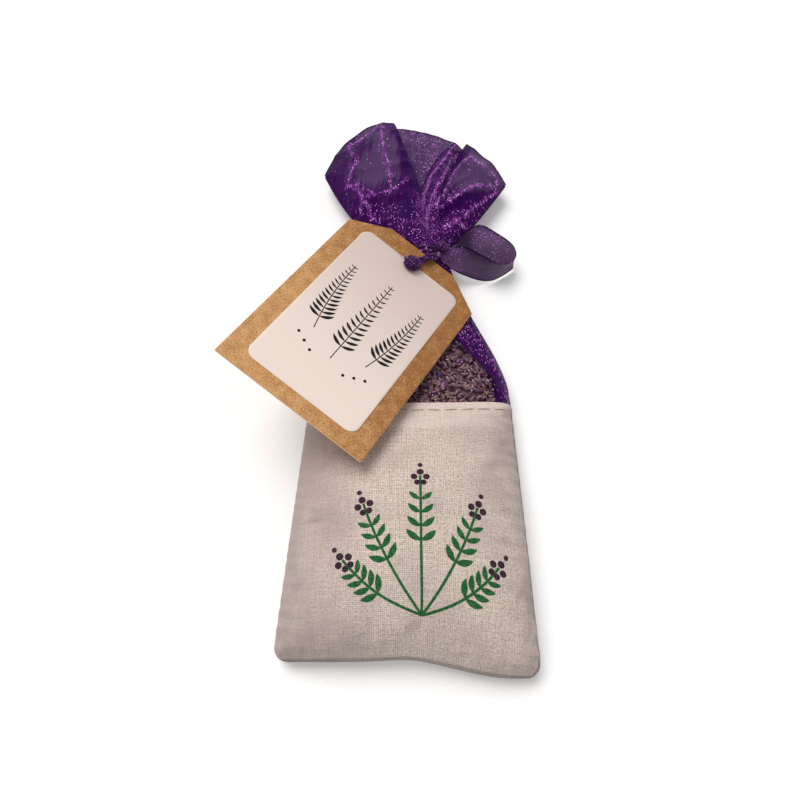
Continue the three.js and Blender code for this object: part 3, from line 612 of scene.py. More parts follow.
def buckled(rest):
    """Where a slightly oversized cloth, pinned round its edges and blown up, ends."""
    rows, columns = rest.shape[:2]
    mesh = mesh_of("buckling", rest.reshape(-1, 3) * CLOTH_SCALE, grid_faces(rows, columns))
    panel = bpy.data.objects.new("buckling", mesh)
    bpy.context.scene.collection.objects.link(panel)
    inner = np.zeros((rows, columns), dtype=bool)
    inner[1:-1, 1:-1] = True
    sewn = panel.vertex_groups.new(name="sewn")
    sewn.add(np.flatnonzero(~inner).tolist(), 1.0, "REPLACE")
    cloth = panel.modifiers.new("cloth", "CLOTH").settings
    cloth.vertex_group_mass = "sewn"
    cloth.quality = 6
    cloth.mass = 0.3
    cloth.tension_stiffness = 12
    cloth.compression_stiffness = 12
    cloth.bending_stiffness = 0.4
    cloth.shrink_min = -0.05
    cloth.use_pressure = True
    cloth.uniform_pressure_force = 1.5
    cloth.effector_weights.gravity = 0
    scene = bpy.context.scene
    for step in range(1, CLOTH_FRAMES + 1):
        scene.frame_set(step)
    shaped = panel.evaluated_get(bpy.context.evaluated_depsgraph_get()).to_mesh()
    place_now = np.zeros(rows * columns * 3, dtype=np.float32)
    shaped.vertices.foreach_get("co", place_now)
    bpy.data.objects.remove(panel)
    scene.frame_set(1)
    return place_now.reshape(rows, columns, 3) / (CLOTH_SCALE * MM)


def blurred(field, passes):
    """A grid of values smoothed with its neighbours, its edges held."""
    for _ in range(passes):
        inner = field[:-2, 1:-1] + field[2:, 1:-1] + field[1:-1, :-2] + field[1:-1, 2:]
        field = field.copy()
        field[1:-1, 1:-1] = lerp(field[1:-1, 1:-1], inner / 4, 0.8)
    return field


def front_buckles():
    """The simulated shape less its even swelling: the height of the buckles along the cloth's normal."""
    angle = arch_angles(BUCKLE_COLUMNS)
    rest = bag_front(angle, spaced_rows(BUCKLE_ROWS)[:, None])
    height = np.sum((buckled(rest) - rest) * grid_normals(rest), axis=-1)
    height = height - blurred(height, EVEN_PASSES)
    return BUCKLE_CAP * np.tanh(height / BUCKLE_CAP)


buckles = front_buckles()
print("buckles:", buckles.min().round(2), "to", buckles.max().round(2), "mm")

# %% [markdown]
# The visible panel has a finer grid. It takes the buckles, adds the small puckers that a sewn seam
# draws up, and then goes over the hem: a half round at the top edge and the turned-in part inside.

# %% Shape of the front panel
FRONT_COLUMNS = 181
FRONT_ROWS = 171
HEM_TURN_RADIUS = 0.45
HEM_TURN_STEPS = 6
HEM_INSIDE_ROWS = 18
HEM_RIDGE = 0.07  # the doubled hem stands proud by this
PUCKER_PITCH = 4.4
PUCKER_DEPTH = 0.22
PUCKER_REACH = 6


def resampled(field, rows, columns):
    """A coarse grid of values read between its points, at the places of a finer grid."""
    row = np.linspace(0, field.shape[0] - 1, rows)
    column = np.linspace(0, field.shape[1] - 1, columns)
    across = np.stack([np.interp(column, np.arange(field.shape[1]), line) for line in field])
    return np.stack([np.interp(row, np.arange(field.shape[0]), line) for line in across.T], axis=1)


def seam_puckers(points, y):
    """Small waves square to the side and bottom seams, fading away from them."""
    x = points[..., 0]
    from_side = half_width(y) - np.abs(x - middle_x(y))
    from_bottom = y - Y_BOTTOM
    wander = waves(x, y, 17)
    side = np.exp(-from_side / PUCKER_REACH) * np.cos(2 * np.pi * y / PUCKER_PITCH + 2 * wander)
    bottom = np.exp(-from_bottom / PUCKER_REACH) * np.cos(2 * np.pi * x / PUCKER_PITCH + 2 * wander)
    return PUCKER_DEPTH * (side + bottom)


def hem_turn(outer):
    """Rows that carry a sheet over its top edge and down inside: a half circle, then the same rows sunk."""
    normals = grid_normals(outer)
    edge, out = outer[-1], normals[-1]
    along = unit(outer[-1] - outer[-2])
    turn = np.linspace(0, np.pi, HEM_TURN_STEPS)[1:-1, None, None]
    over = edge + HEM_TURN_RADIUS * (along * np.sin(turn) - out * (1 - np.cos(turn)))
    inside = outer - 2 * HEM_TURN_RADIUS * normals
    return np.concatenate([outer, over, inside[-1:-HEM_INSIDE_ROWS:-1]])


def front_panel_points():
    """The front's arch plus its normals times buckles, puckers and the hem's ridge."""
    angle = arch_angles(FRONT_COLUMNS)
    y = spaced_rows(FRONT_ROWS)[:, None]
    outer = bag_front(angle, y)
    lift = resampled(buckles, FRONT_ROWS, FRONT_COLUMNS) + seam_puckers(outer, y)
    ridge = HEM_RIDGE * smoothstep(y, Y_HEM - HEM_DEPTH - 0.5, Y_HEM - HEM_DEPTH + 0.5)
    free = np.minimum(1, 3 * np.cos(angle)) * smoothstep(y, Y_BOTTOM, Y_BOTTOM + 2)
    outer = outer + grid_normals(outer) * ((lift + ridge) * free)[..., None]
    return keep_under_tag(outer)


front_outer = front_panel_points()
front_points = hem_turn(front_outer)
print("front panel grid:", front_points.shape)

# %% Values for the cotton finish
SHADE_PLACE = (27, 20)  # under the hem on the right, where the organza shows through
SHADE_REACH = (9, 11)
THROUGH_SHADE = 0.35
SIDE_SHADE = 0.45
LEFT_SHADE = 0.5
LEFT_FADE = (8, 30)  # distances to the left of the middle between which the left side falls into shade
EDGE_LINE = 0.8  # how far, seen from above, the right and bottom edges lie in shade
EDGE_SHADE_DARK = 0.45
SEAM_SHADOW_WIDTH = 0.9  # width of the painted shadow line in the seam
SEAM_SHADOW_DARK = 0.8
HEM_FADE = 0.4  # the hem's lower edge shows within this on both sides


def cotton_values(points, way=1):
    """How shaded the cloth is by painted shade, where it lies double, and the painted shade of its right and
    bottom edges and seams. `way` is -1 where the columns run to the left."""
    x, y = points[..., 0], points[..., 1]
    inside = np.clip(y, Y_BOTTOM, Y_HEM)
    edge = np.abs(x - middle_x(inside)) / half_width(inside)
    through = bell(x - SHADE_PLACE[0], SHADE_REACH[0]) * bell(y - SHADE_PLACE[1], SHADE_REACH[1])
    shade = SIDE_SHADE * smoothstep(edge, 0.8, 1.0) + THROUGH_SHADE * through
    shade = shade + LEFT_SHADE * smoothstep(middle_x(inside) - x, *LEFT_FADE)
    hem_foot = Y_HEM - HEM_DEPTH
    double = smoothstep(y + HEM_DIP * (1 - edge**2), hem_foot - HEM_FADE, hem_foot + HEM_FADE)
    across = way * np.sin(np.linspace(-np.pi / 2, np.pi / 2, points.shape[1]))
    from_right = HEM_WIDTH / 2 * (1 - across) + 0 * y
    # Painted shade on the walls of the right and bottom edges, and a painted shadow line along the seams
    wall = 1 - smoothstep(np.minimum(from_right, np.abs(y - y[:1])), EDGE_LINE / 2, EDGE_LINE)
    round_seam = lengths_along(points, 1)
    to_side = np.minimum(round_seam, round_seam[:, -1:] - round_seam)
    to_seam = np.minimum(to_side, lengths_along(points, 0))
    seam = 1 - smoothstep(to_seam, SEAM_SHADOW_WIDTH / 2, SEAM_SHADOW_WIDTH)
    return {"shade": shade, "double": double, "edge": np.maximum(EDGE_SHADE_DARK * wall, SEAM_SHADOW_DARK * seam)}


# %% Front and back panels
COTTON_WALL = 0.35
BACK_ROWS = 90
BACK_COLUMNS = 121
BACK_SAG = 0.5  # depth of the hollows between the pocket's back and the table
SAG_SIZE = 24


def back_panel_points():
    """The back's arch, raised by the upper half of a noise that fades at the seams."""
    angle = arch_angles(BACK_COLUMNS)
    y = spaced_rows(BACK_ROWS)[:, None]
    outer = bag_back(angle, y)
    sag = BACK_SAG * np.maximum(waves(outer[..., 0], outer[..., 1], SAG_SIZE), 0)
    from_sides = smoothstep(np.cos(angle), 0.1, 0.5)
    outer[..., 2] += sag * from_sides * smoothstep(y, Y_BOTTOM, Y_BOTTOM + 6)
    return outer


back_points = hem_turn(back_panel_points()[:, ::-1])
for title, panel_points, way, node_name in (
    ("cotton_front", front_points, 1, "cotton_front_panel"),
    ("cotton_back", back_points, -1, "cotton_back_panel"),
):
    values = cotton_values(panel_points, way)
    panel = grid_piece(title, panel_points, cotton, cloth_map(panel_points), values)
    thicken(panel, COTTON_WALL)
    belongs(panel, "sachet", "cotton", node_name)

# %% [markdown]
# ## Thread
# Stitches are short lengths of thread, each diving into the cloth at both ends. A tube is a ring of
# points carried along a path, and its ends shrink to points, so many tubes can share one mesh. Blender's
# own curves with a round bevel would give tubes too, but with open ends.


# %% Tubes
def tube_points(path, radius, up, sides):
    """Rings round a path (... x steps x 3): side and top vectors times cosine and sine of the turn."""
    ahead = unit(np.gradient(path, axis=-2))
    side = unit(np.cross(ahead, up))
    top = np.cross(side, ahead)
    turn = np.linspace(0, 2 * np.pi, sides + 1)[:, None]
    ring = side[..., None, :] * np.cos(turn) + top[..., None, :] * np.sin(turn)
    return path[..., None, :] + radius[..., None, None] * ring


def many_grids(name, points, material, uv=None, values=None):
    """One piece from many equal closed grids (count x rows x columns x 3)."""
    count, rows, columns = points.shape[:3]
    faces = grid_faces(rows, columns)[None] + (np.arange(count) * rows * columns)[:, None, None]
    flat_uv = None if uv is None else np.broadcast_to(uv, (*points.shape[:3], 2)).reshape(-1, 2)
    mesh = mesh_of(name, points.reshape(-1, 3), faces.reshape(-1, 4), flat_uv, values)
    return add_piece(name, mesh, material, merge=True)


# %% Thread finish
THREAD_TAN = rgb(192, 170, 150)
THREAD_DARK = rgb(150, 126, 106)
PLY_PITCH = 0.35


def thread_finish():
    """Two-ply thread: slanted stripes round the tube."""
    material, tree, shader = new_finish("sewing_thread", Roughness=0.8, Sheen_Weight=0.2)
    slant = stretched(tree, cloth_place(tree), (1.0, 1 / PLY_PITCH, 1))
    inputs = {"Vector": slant, "Scale": 0.32, "Distortion": 0.6}
    stripes = node(tree, "TexWave", inputs, bands_direction="DIAGONAL")
    base = blend(tree, stripes, THREAD_DARK, THREAD_TAN)
    tree.links.new(base, shader.inputs["Base Color"])
    tree.links.new(bumped(tree, stripes, 0.6, 0.08), shader.inputs["Normal"])
    return material


thread = thread_finish()

# %% [markdown]
# The hem is held by a row of running stitches, two and a half millimetres below its edge. Their places are
# read from the finished cloth, so that they lie on it wherever it buckles.


# %% Places on the front panel
def read_grid(grid, row, column):
    """Values between the points of a grid, mixed from the four points around each place."""
    low_row = np.clip(np.floor(row).astype(int), 0, grid.shape[0] - 2)
    low_column = np.clip(np.floor(column).astype(int), 0, grid.shape[1] - 2)
    down = (row - low_row)[..., None]
    right = (column - low_column)[..., None]
    first = lerp(grid[low_row, low_column], grid[low_row, low_column + 1], right)
    second = lerp(grid[low_row + 1, low_column], grid[low_row + 1, low_column + 1], right)
    return lerp(first, second, down)


front_normals = grid_normals(front_outer)


def on_front(x, y, height):
    """The place on the front panel above plan point (x, y), raised off the cloth by `height`."""
    angle = np.arcsin(np.clip((x - middle_x(y)) / half_width(y), -1, 1))
    column = (angle / np.pi + 0.5) * (FRONT_COLUMNS - 1)
    row = np.interp(y, spaced_rows(FRONT_ROWS), np.arange(FRONT_ROWS))
    out = read_grid(front_normals, row, column)
    return read_grid(front_outer, row, column) + unit(out) * np.asarray(height)[..., None]


# %% Hem stitches
THREAD_RADIUS = 0.16
STITCH_PITCH = 5.0
STITCH_LENGTH = 4.4
STITCH_INSET = 2.5
STITCH_COUNT = 12
STITCH_STEPS = 11
STITCH_SUNK = -0.15  # height of a stitch's ends over the cloth
STITCH_PROUD = 0.14  # and of its middle
STITCH_SLANT = 0.25  # how far out of line a stitch may lie
THREAD_SIDES = 8


def stitch_rows():
    """Start to end of each stitch, its height over the cloth (a low arch) and its tapering radius."""
    share = np.linspace(0, 1, STITCH_STEPS)
    start = (np.arange(STITCH_COUNT) - (STITCH_COUNT - 1) / 2) * STITCH_PITCH
    x = start[:, None] + (share - 0.5) * STITCH_LENGTH
    height = lerp(STITCH_SUNK, STITCH_PROUD, np.sin(np.pi * share) ** 0.3)
    radius = THREAD_RADIUS * np.sin(np.pi * share) ** 0.35
    return x, np.broadcast_to(height, x.shape), np.broadcast_to(radius, x.shape)


def thread_piece(name, path, radius, up=1.0):
    """Lengths of thread along these paths. Their map is millimetres round the thread and along it."""
    points = tube_points(path, radius, np.array([0, 0, up]), THREAD_SIDES)
    along = lengths_along(path, path.ndim - 2)
    around = np.linspace(0, 2 * np.pi * THREAD_RADIUS, THREAD_SIDES + 1)
    return many_grids(name, points, thread, stacked(around, along[..., None]))


def front_stitches():
    """Stitches on the front's cloth, each slanted by smooth noise."""
    x, height, radius = stitch_rows()
    slant = STITCH_SLANT * waves(x[:, :1], 0 * x[:, :1], 9)
    y = Y_HEM - STITCH_INSET + slant * (x - x.mean(axis=1, keepdims=True)) / 3
    return thread_piece("hem_stitches_front", on_front(x, y, height), radius)


def back_stitches():
    """Stitches on the back's arch, hanging under it by their height."""
    x, height, radius = stitch_rows()
    y = np.full_like(x, Y_HEM - STITCH_INSET)
    path = bag_back(np.arcsin((x - middle_x(y)) / half_width(y)), y)
    path[..., 2] -= np.minimum(height, 0.1)
    return thread_piece("hem_stitches_back", path, radius, -1.0)


belongs(front_stitches(), "sachet", "thread", "hem_thread_front")
belongs(back_stitches(), "sachet", "thread", "hem_thread_back")

# %% [markdown]
# The side and bottom seams were sewn inside out, so their thread runs just inside the edges.

# %% Seam threads
SEAM_INSET = 1.3
TUCKED_INSET = 3.2  # where the organza is tucked into the pocket, the thread passes inside it
TUCK_START = Y_HEM - 15
TUCK_END = Y_HEM + 12


def side_seam(side):
    """A path inside the side seam, further in where the organza is tucked."""
    y = np.linspace(Y_BOTTOM + CORNER_RADIUS, Y_NECK - 15, 120)
    tucked = smoothstep(y, TUCK_START, TUCK_START + 6) * (1 - smoothstep(y, TUCK_END - 8, TUCK_END))
    inside = half_width(y) - lerp(SEAM_INSET, TUCKED_INSET, tucked)
    return np.stack([middle_x(y) + side * inside, plan_y(y, side, 1), seam_z(y)], axis=-1)


def bottom_seam():
    """A path inside the bottom edge, raised where the edge arches."""
    x = np.linspace(-1, 1, 80) * (BOTTOM_WIDTH / 2 - CORNER_RADIUS - 2)
    across = 2 * x / BOTTOM_WIDTH
    y = np.full_like(x, Y_BOTTOM)
    z = SEAM_HEIGHT + ARCH_UP * bottom_arch(across, y)
    return np.stack([BOTTOM_SHIFT + x, plan_y(y, across, 1) + SEAM_INSET, z], axis=-1)


def seam_piece(name, path):
    """One long thread, which comes to a point at both ends."""
    radius = THREAD_RADIUS * np.minimum(1, 12 * np.sin(np.linspace(0, np.pi, len(path))))
    return thread_piece(name, path[None], radius[None])


belongs(seam_piece("side_seam_left", side_seam(-1)), "sachet", "thread", "side_seam_thread_left")
belongs(seam_piece("side_seam_right", side_seam(1)), "sachet", "thread", "side_seam_thread_right")
belongs(seam_piece("bottom_seam", bottom_seam()), "sachet", "thread", "bottom_seam_thread")

# %% [markdown]
# ## Printed twigs
# The pocket carries a print in green and dark plum. This one is a plain bunch of leafy twigs with
# berries, drawn here from three strokes: a stem, a leaf and a round berry. The print lies on the cloth
# as a film of ink, and the weave breaks it up. A picture laid on the cloth is the usual way, but strokes
# stay sharp from any distance.

# %% Ink finish
INK_LIFT = 0.05


def ink_finish(name, dark, pale):
    """Ink sits on the crowns of the yarns and is thinner between them."""
    material, tree, shader = new_finish(name, Roughness=0.9, Specular_IOR_Level=0.15)
    place = cloth_place(tree)
    weave = plain_weave(tree, place)
    worn = plus(tree, times(tree, cloudy(tree, place, 1.3, 3), 0.9), times(tree, weave, -0.35))
    base = blend(tree, ramp(tree, worn, 0.12, 0.62), dark, pale)
    tree.links.new(base, shader.inputs["Base Color"])
    tree.links.new(bumped(tree, weave, 0.4, 0.2), shader.inputs["Normal"])
    return material


green_ink = ink_finish("green_ink", rgb(24, 78, 42), rgb(74, 138, 84))
plum_ink = ink_finish("plum_ink", rgb(38, 24, 34), rgb(96, 74, 84))
black_ink = ink_finish("black_ink", rgb(22, 20, 22), rgb(58, 54, 56))


# %% Strokes
def left_of(way):
    """Flat directions turned by a quarter to the left."""
    return np.stack([-way[..., 1], way[..., 0]], axis=-1)


def strokes(start, end, width, bend, steps, pointed):
    """Flat shapes from start to end: a bowed middle line, with a sine or an even width across it.
    start and end are count x 2, width and bend one number for each. Returns count x steps x 5 x 2."""
    t = np.linspace(0, 1, steps)[None, :, None]
    way = (end - start)[:, None, :]
    line = start[:, None, :] + way * t + left_of(way) * bend[:, None, None] * (t - t**2)
    across = left_of(unit(np.gradient(line, axis=1)))
    swelling = np.sin(np.pi * np.clip(t, 0.002, 0.998)) ** 0.8 if pointed else np.ones_like(t)
    half = (width[:, None, None] / 2 * swelling)[..., None]
    return line[:, :, None, :] + across[:, :, None, :] * half * np.linspace(-1, 1, 5)[:, None]


def discs(centre, radius, sides=18):
    """Round shapes: rings from the middle outwards."""
    turn = np.linspace(0, 2 * np.pi, sides + 1)
    ring = np.stack([np.cos(turn), np.sin(turn)], axis=-1) * np.linspace(0, 1, 4)[:, None, None]
    return centre[:, None, None, :] + radius[:, None, None, None] * ring


# %% Bunches of stems
LEAF_BEND = 0.3


def sheaf(foot, lean, length, bow):
    """Stems from one foot, or from one each: where each starts and ends, and how far it bows."""
    turn = np.radians(lean)
    way = np.stack([np.sin(turn), np.cos(turn)], axis=-1)
    start = np.broadcast_to(foot, way.shape)
    return start, start + way * np.array(length)[:, None], np.array(bow)


def on_stem(stems, share):
    """Where each stem is at that share of its length, and which way it runs there."""
    start, end, bow = stems
    way = end - start
    aside = left_of(way) * bow[:, None]
    return start + way * share + aside * (share - share**2), unit(way + aside * (1 - 2 * share))


def leaf_pairs(stems, shares, longest, shortest, slant):
    """Pairs of leaves that shorten towards the tip: starts, ends and bends of their strokes."""
    starts, ends, bends = [], [], []
    for share in shares:
        place_now, way = on_stem(stems, share)
        for side in (-1, 1):
            starts.append(place_now)
            ends.append(place_now + (way * slant + side * left_of(way)) * lerp(longest, shortest, share))
            bends.append(np.full(len(way), LEAF_BEND * side))
    return np.concatenate(starts), np.concatenate(ends), np.concatenate(bends)


def printed(name, shapes, material, body, slot, where):
    """Flat shapes laid on a surface: `where` turns plan points into places."""
    points = where(shapes[..., 0], shapes[..., 1])
    return belongs(many_grids(name, points, material, shapes), body, slot)


def stem_strokes(stems, width):
    """Strokes of one width along bowed stems."""
    start, end, bow = stems
    return strokes(start, end, np.full(len(bow), width), bow, 40, False)


def leaf_strokes(leaves, plump):
    """Pointed strokes, as wide as `plump` times their length."""
    start, end, bend = leaves
    return strokes(start, end, plump * np.linalg.norm(end - start, axis=-1), bend, 14, True)


# %% Twigs on the pocket
TWIG_FOOT = (3.0, -27.0)
TWIG_LEANS = [-56, -28, 0, 28, 56]  # degrees to the right of straight up
TWIG_LENGTHS = [25.0, 33.0, 38.0, 33.0, 25.0]
TWIG_BOWS = [0.3, 0.16, 0.0, -0.16, -0.3]
TWIG_WIDTH = 0.7
TWIGS = sheaf(TWIG_FOOT, TWIG_LEANS, TWIG_LENGTHS, TWIG_BOWS)
TWIG_LEAVES = np.array([0.5, 0.6, 0.7, 0.8])  # shares of the twig
TWIG_LEAF_SIZES = (5.2, 2.6, 0.75)  # at the foot, at the tip, and how far they slant
TWIG_LEAF_PLUMP = 0.36  # a leaf's width over its length
BERRIES = np.array([[0, 1.2], [-1.7, -0.4], [1.7, -0.4], [-0.9, -2.3], [0.9, -2.3], [0, 3.6]])
BERRY_SIZES = [1.0, 0.95, 0.95, 0.85, 0.85, 0.7]


def on_pocket(x, y):
    """Plan points carried onto the front panel, lifted by the film of ink."""
    return on_front(x, y, np.full(x.shape, INK_LIFT))


def twig_berries():
    """A cluster at the tip of each twig, turned with it."""
    tip, way = on_stem(TWIGS, 1.0)
    centre = tip[:, None] - BERRIES[:, :1] * left_of(way)[:, None] + BERRIES[:, 1:] * way[:, None]
    return discs(centre.reshape(-1, 2), np.tile(BERRY_SIZES, len(tip)))


twig_leaves = leaf_strokes(leaf_pairs(TWIGS, TWIG_LEAVES, *TWIG_LEAF_SIZES), TWIG_LEAF_PLUMP)
printed("print_stems", stem_strokes(TWIGS, TWIG_WIDTH), green_ink, "sachet", "cotton", on_pocket)
printed("print_leaves", twig_leaves, green_ink, "sachet", "cotton", on_pocket)
printed("print_berries", twig_berries(), plum_ink, "sachet", "cotton", on_pocket)

# %% [markdown]
# ## Dried lavender
# Through the organza one sees dried buds: small ribbed tubes, grey-mauve to brown, heaped in all
# directions. More than a thousand of them share one mesh, with a few dozen faces each. They lie on a dark
# heap, which fills the bag and closes the gaps between them, its dark a painted shade of the depths
# between the buds. A particle system could scatter them as well, but in one mesh each bud keeps a tone of
# its own.

# %% Lavender finishes
BUD_GREY = rgb(212, 168, 166)
BUD_BROWN = rgb(160, 116, 106)
BUD_BLUE = rgb(126, 96, 150)
# The heap's dark is partly painted shade of the depths between the buds; the buds' ribs share the colour.
HEAP_DARK = rgb(46, 28, 34)


def bud_finish():
    """Each bud has its own tone, grey to brown or now and then blue, with fine ribs along it."""
    settings = {"Roughness": 0.95, "Sheen_Weight": 0.3, "Specular_IOR_Level": 0.1}
    material, tree, shader = new_finish("dried_buds", **settings)
    tone = value_of(tree, "tone")
    base = blend(tree, ramp(tree, tone, 0.35, 0.75), BUD_GREY, BUD_BROWN)
    base = blend(tree, ramp(tree, tone, 0.88, 0.94), base, BUD_BLUE)
    place = cloth_place(tree)
    ribs = node(tree, "TexWave", {"Vector": place, "Scale": 0.9, "Distortion": 1.5}, bands_direction="X")
    base = blend(tree, times(tree, ribs, 0.35), base, HEAP_DARK)
    tree.links.new(base, shader.inputs["Base Color"])
    tree.links.new(bumped(tree, ribs, 0.7, 0.2), shader.inputs["Normal"])
    return material


def heap_finish():
    """Dark and brown grains: fine noise in the object's own place, the dark partly a painted shade between
    the buds.
    """
    material, tree, shader = new_finish("lavender_heap", Roughness=1.0, Specular_IOR_Level=0.1)
    place = node(tree, "TexCoord", output=3)
    grain = cloudy(tree, place, 700, 4, 0.7)
    base = blend(tree, ramp(tree, grain, 0.35, 0.7), HEAP_DARK, BUD_BROWN)
    tree.links.new(base, shader.inputs["Base Color"])
    tree.links.new(bumped(tree, grain, 1.0, 0.8), shader.inputs["Normal"])
    return material


dried_buds = bud_finish()
dark_heap = heap_finish()

# %% Heap
FILL_ABOVE_HEM = 28
FILL_ROUNDING = 12
UNDER_COTTON = 1.2  # the heap's depth under the pocket's outer face
UNDER_ORGANZA = 3.3  # and under the organza's, where loose buds lie on it
HEAP_SIDE = 3.0
HEAP_START = Y_BOTTOM + 3
HEAP_END = Y_HEM + FILL_ABOVE_HEM
HEAP_BUMPS = 0.45


def heap(angle, y, side):
    """The bag's own arch, a little smaller, closing in a rounded end among the gathers."""
    across = np.sin(angle)
    end = np.clip((y - HEAP_END + FILL_ROUNDING) / FILL_ROUNDING, 0, 1)
    close = np.sqrt(1 - end**2)
    start = swell(y - HEAP_START + Y_BOTTOM, BOTTOM_ROUNDING if side > 0 else FLAT_MARGIN)
    window = smoothstep(y, Y_HEM - 2 * HEM_DEPTH, Y_HEM - HEM_DEPTH)
    depth = lerp(UNDER_COTTON, UNDER_ORGANZA, window)
    room = crown_z(y) - seam_z(y) if side > 0 else seam_z(y) - underside_z(y)
    level = level_share(angle)
    rise = level**FULLNESS if side > 0 else np.minimum(1, 1.4 * level)
    x = middle_x(y) + (half_width(y) - HEAP_SIDE - 1.5 * window) * lerp(1, close, 0.4) * across
    z = seam_z(y) + side * np.maximum(room - depth, 0.2) * rise * close * start
    dent = dent_at(x, y) * rise * start if side > 0 else 0
    return stacked(x, plan_y(y, across, side), z - dent)


def heap_ring():
    """Top and underside as one ring of columns, so that the heap is a closed skin."""
    y = np.linspace(HEAP_START, HEAP_END, 70)[:, None]
    angle = arch_angles(60)
    bumps = HEAP_BUMPS * waves(angle * 30, y, 5) * np.cos(angle)
    top = heap(angle, y, 1)
    top[..., 2] += bumps * (top[..., 2] - seam_z(y)).clip(0, 1)
    return np.concatenate([top, heap(angle, y, -1)[:, ::-1]], axis=1)


heap_points = heap_ring()
lavender_heap = grid_piece("lavender_fill", heap_points, dark_heap, merge=True)
belongs(lavender_heap, "sachet", "lavender", "lavender_heap")

# %% Loose buds
BUD_LENGTH = 2.5
BUD_RADIUS = 0.45
BUDS_ABOVE = 1200
BUDS_BELOW = 160
BUD_RIBS = 5
BUD_ROUND = 6  # length of the map round a bud
BUD_SPREAD = 1.2  # the buds lie within this angle of the top
BUD_TILT = 0.28
BUD_LIFTS = (0.35, 1.0)  # shares of the layer's depth
BUD_LAYER = 1.3
BUD_SIZES = (0.7, 1.12)


def bud_shape():
    """A ribbed calyx: a radius that swells, narrows to the mouth and ripples with the turn."""
    share = np.linspace(0, 1, 8)[:, None]
    turn = np.linspace(0, 2 * np.pi, 11)[None, :]
    swelling = np.sin(np.pi * share**0.8) ** 0.7 * lerp(1.0, 0.75, share)
    radius = BUD_RADIUS * swelling * (1 + 0.16 * np.cos(BUD_RIBS * turn) * (1 - share))
    bow = 0.35 * np.sin(np.pi * share)
    along = BUD_LENGTH * (share - 0.5) + 0 * turn
    return np.stack([radius * np.cos(turn) + bow, radius * np.sin(turn), along], axis=-1)


def scattered(count, side):
    """Places and turned axes for buds that lie on one side of the heap."""
    angle = draw.uniform(-BUD_SPREAD, BUD_SPREAD, count)
    y = draw.uniform(Y_HEM - 2, HEAP_END - 1.5, count)
    step = 0.01
    here = heap(angle, y, side)
    across = heap(angle + step, y, side) - here
    along = heap(angle, y + step, side) - here
    out = unit(np.cross(across, along)) * side
    first = unit(across)
    second = np.cross(out, first)
    turn = draw.uniform(0, 2 * np.pi, count)[:, None]
    tilt = draw.normal(0, BUD_TILT, count)[:, None]
    way = unit(first * np.cos(turn) + second * np.sin(turn) + out * tilt)
    other = unit(np.cross(way, out))
    lift = draw.uniform(*BUD_LIFTS, count)[:, None] * BUD_LAYER
    return here + out * lift, np.stack([other, np.cross(way, other), way], axis=1)


def loose_buds():
    """Each bud is the one shape, turned by its axes, times its size, plus its place."""
    above, below = scattered(BUDS_ABOVE, 1), scattered(BUDS_BELOW, -1)
    middle = np.concatenate([above[0], below[0]])
    axes = np.concatenate([above[1], below[1]])
    count = len(middle)
    size = draw.uniform(*BUD_SIZES, count)[:, None, None, None]
    points = middle[:, None, None, :] + np.einsum("rck,nkj->nrcj", bud_shape(), axes) * size
    tone = np.broadcast_to(draw.uniform(0, 1, count)[:, None, None], points.shape[:3])
    around = np.linspace(0, BUD_ROUND, points.shape[2])[None, :]
    along = np.linspace(0, BUD_LENGTH, points.shape[1])[:, None]
    return many_grids("lavender_buds", points, dried_buds, stacked(around, along), {"tone": tone})


bud_nodes = [name for name in frame["nodes"] if name.startswith("lavender_bud_")]
belongs(loose_buds(), "sachet", "lavender", *bud_nodes)

# %% [markdown]
# ## Organza
# The bag's upper part is organza: crisp, sheer and full of glints. Stiff cloth folds in flat facets with
# sharp creases between them. So the rim of the ruffle is drawn as a chain of points about the neck, as
# on a fan, and the cloth runs from the neck's small pleats out to that chain. Where the chain turns back
# on itself, the cloth lies in a pleat. Creases are then pressed along lines that were read off the photo.
# A cloth simulation would fold it too, but not in these places.

# %% Rim of the ruffle
# Each row: place along the rim of 28, degrees to the right of straight up near the neck and at the rim,
# distance from the neck, height
RIM_PLACES = 28
FRONT_RIM = np.array([
    (0, -46.5, -46.5, 52.8, 6.0),
    (2, -40.5, -40.5, 54.4, 8.4),
    (5, -31.5, -33.6, 56.9, 10.0),
    (10, -16.0, -16.0, 61.6, 10.0),
    (11, -13.0, -12.5, 58.4, 10.8),
    (13, -10.0, -10.6, 44.3, 10.0),
    (15, -6.8, -6.4, 27.3, 7.5),
    (17, -2.5, 2.5, 40.5, 8.4),
    (19, 2.5, 11.7, 49.8, 10.2),
    (19.7, 4.0, 11.2, 47.6, 8.2),
    (20.3, 6.0, 14.6, 47.2, 8.0),
    (21, 8.0, 16.2, 49.4, 10.2),
    (25, 24.0, 29.0, 45.4, 10.0),
    (28, 41.5, 41.5, 42.3, 6.5),
])
BACK_RIM = np.array([
    (0, -46.5, -46.5, 52.8, 6.0),
    (4, -35.0, -36.0, 55.5, 3.2),
    (10, -16.5, -16.5, 61.6, 3.2),
    (12, -11.0, -11.0, 62.3, 5.0),
    (17, 4.0, 6.2, 56.4, 5.0),
    (19, 9.5, 11.1, 55.1, 4.6),
    (21, 14.0, 16.0, 52.5, 3.2),
    (25, 27.0, 28.5, 45.4, 3.2),
    (28, 41.5, 41.5, 42.3, 6.5),
])
RIM_STAND = 0.5  # the front's rim stands above the height given, and the back's below it
FOLD_SOFTNESS = 0.004  # as a share of the panel's width: how round the folds are
RIM_STEPS = 1201
FOLD_STEPS = 30


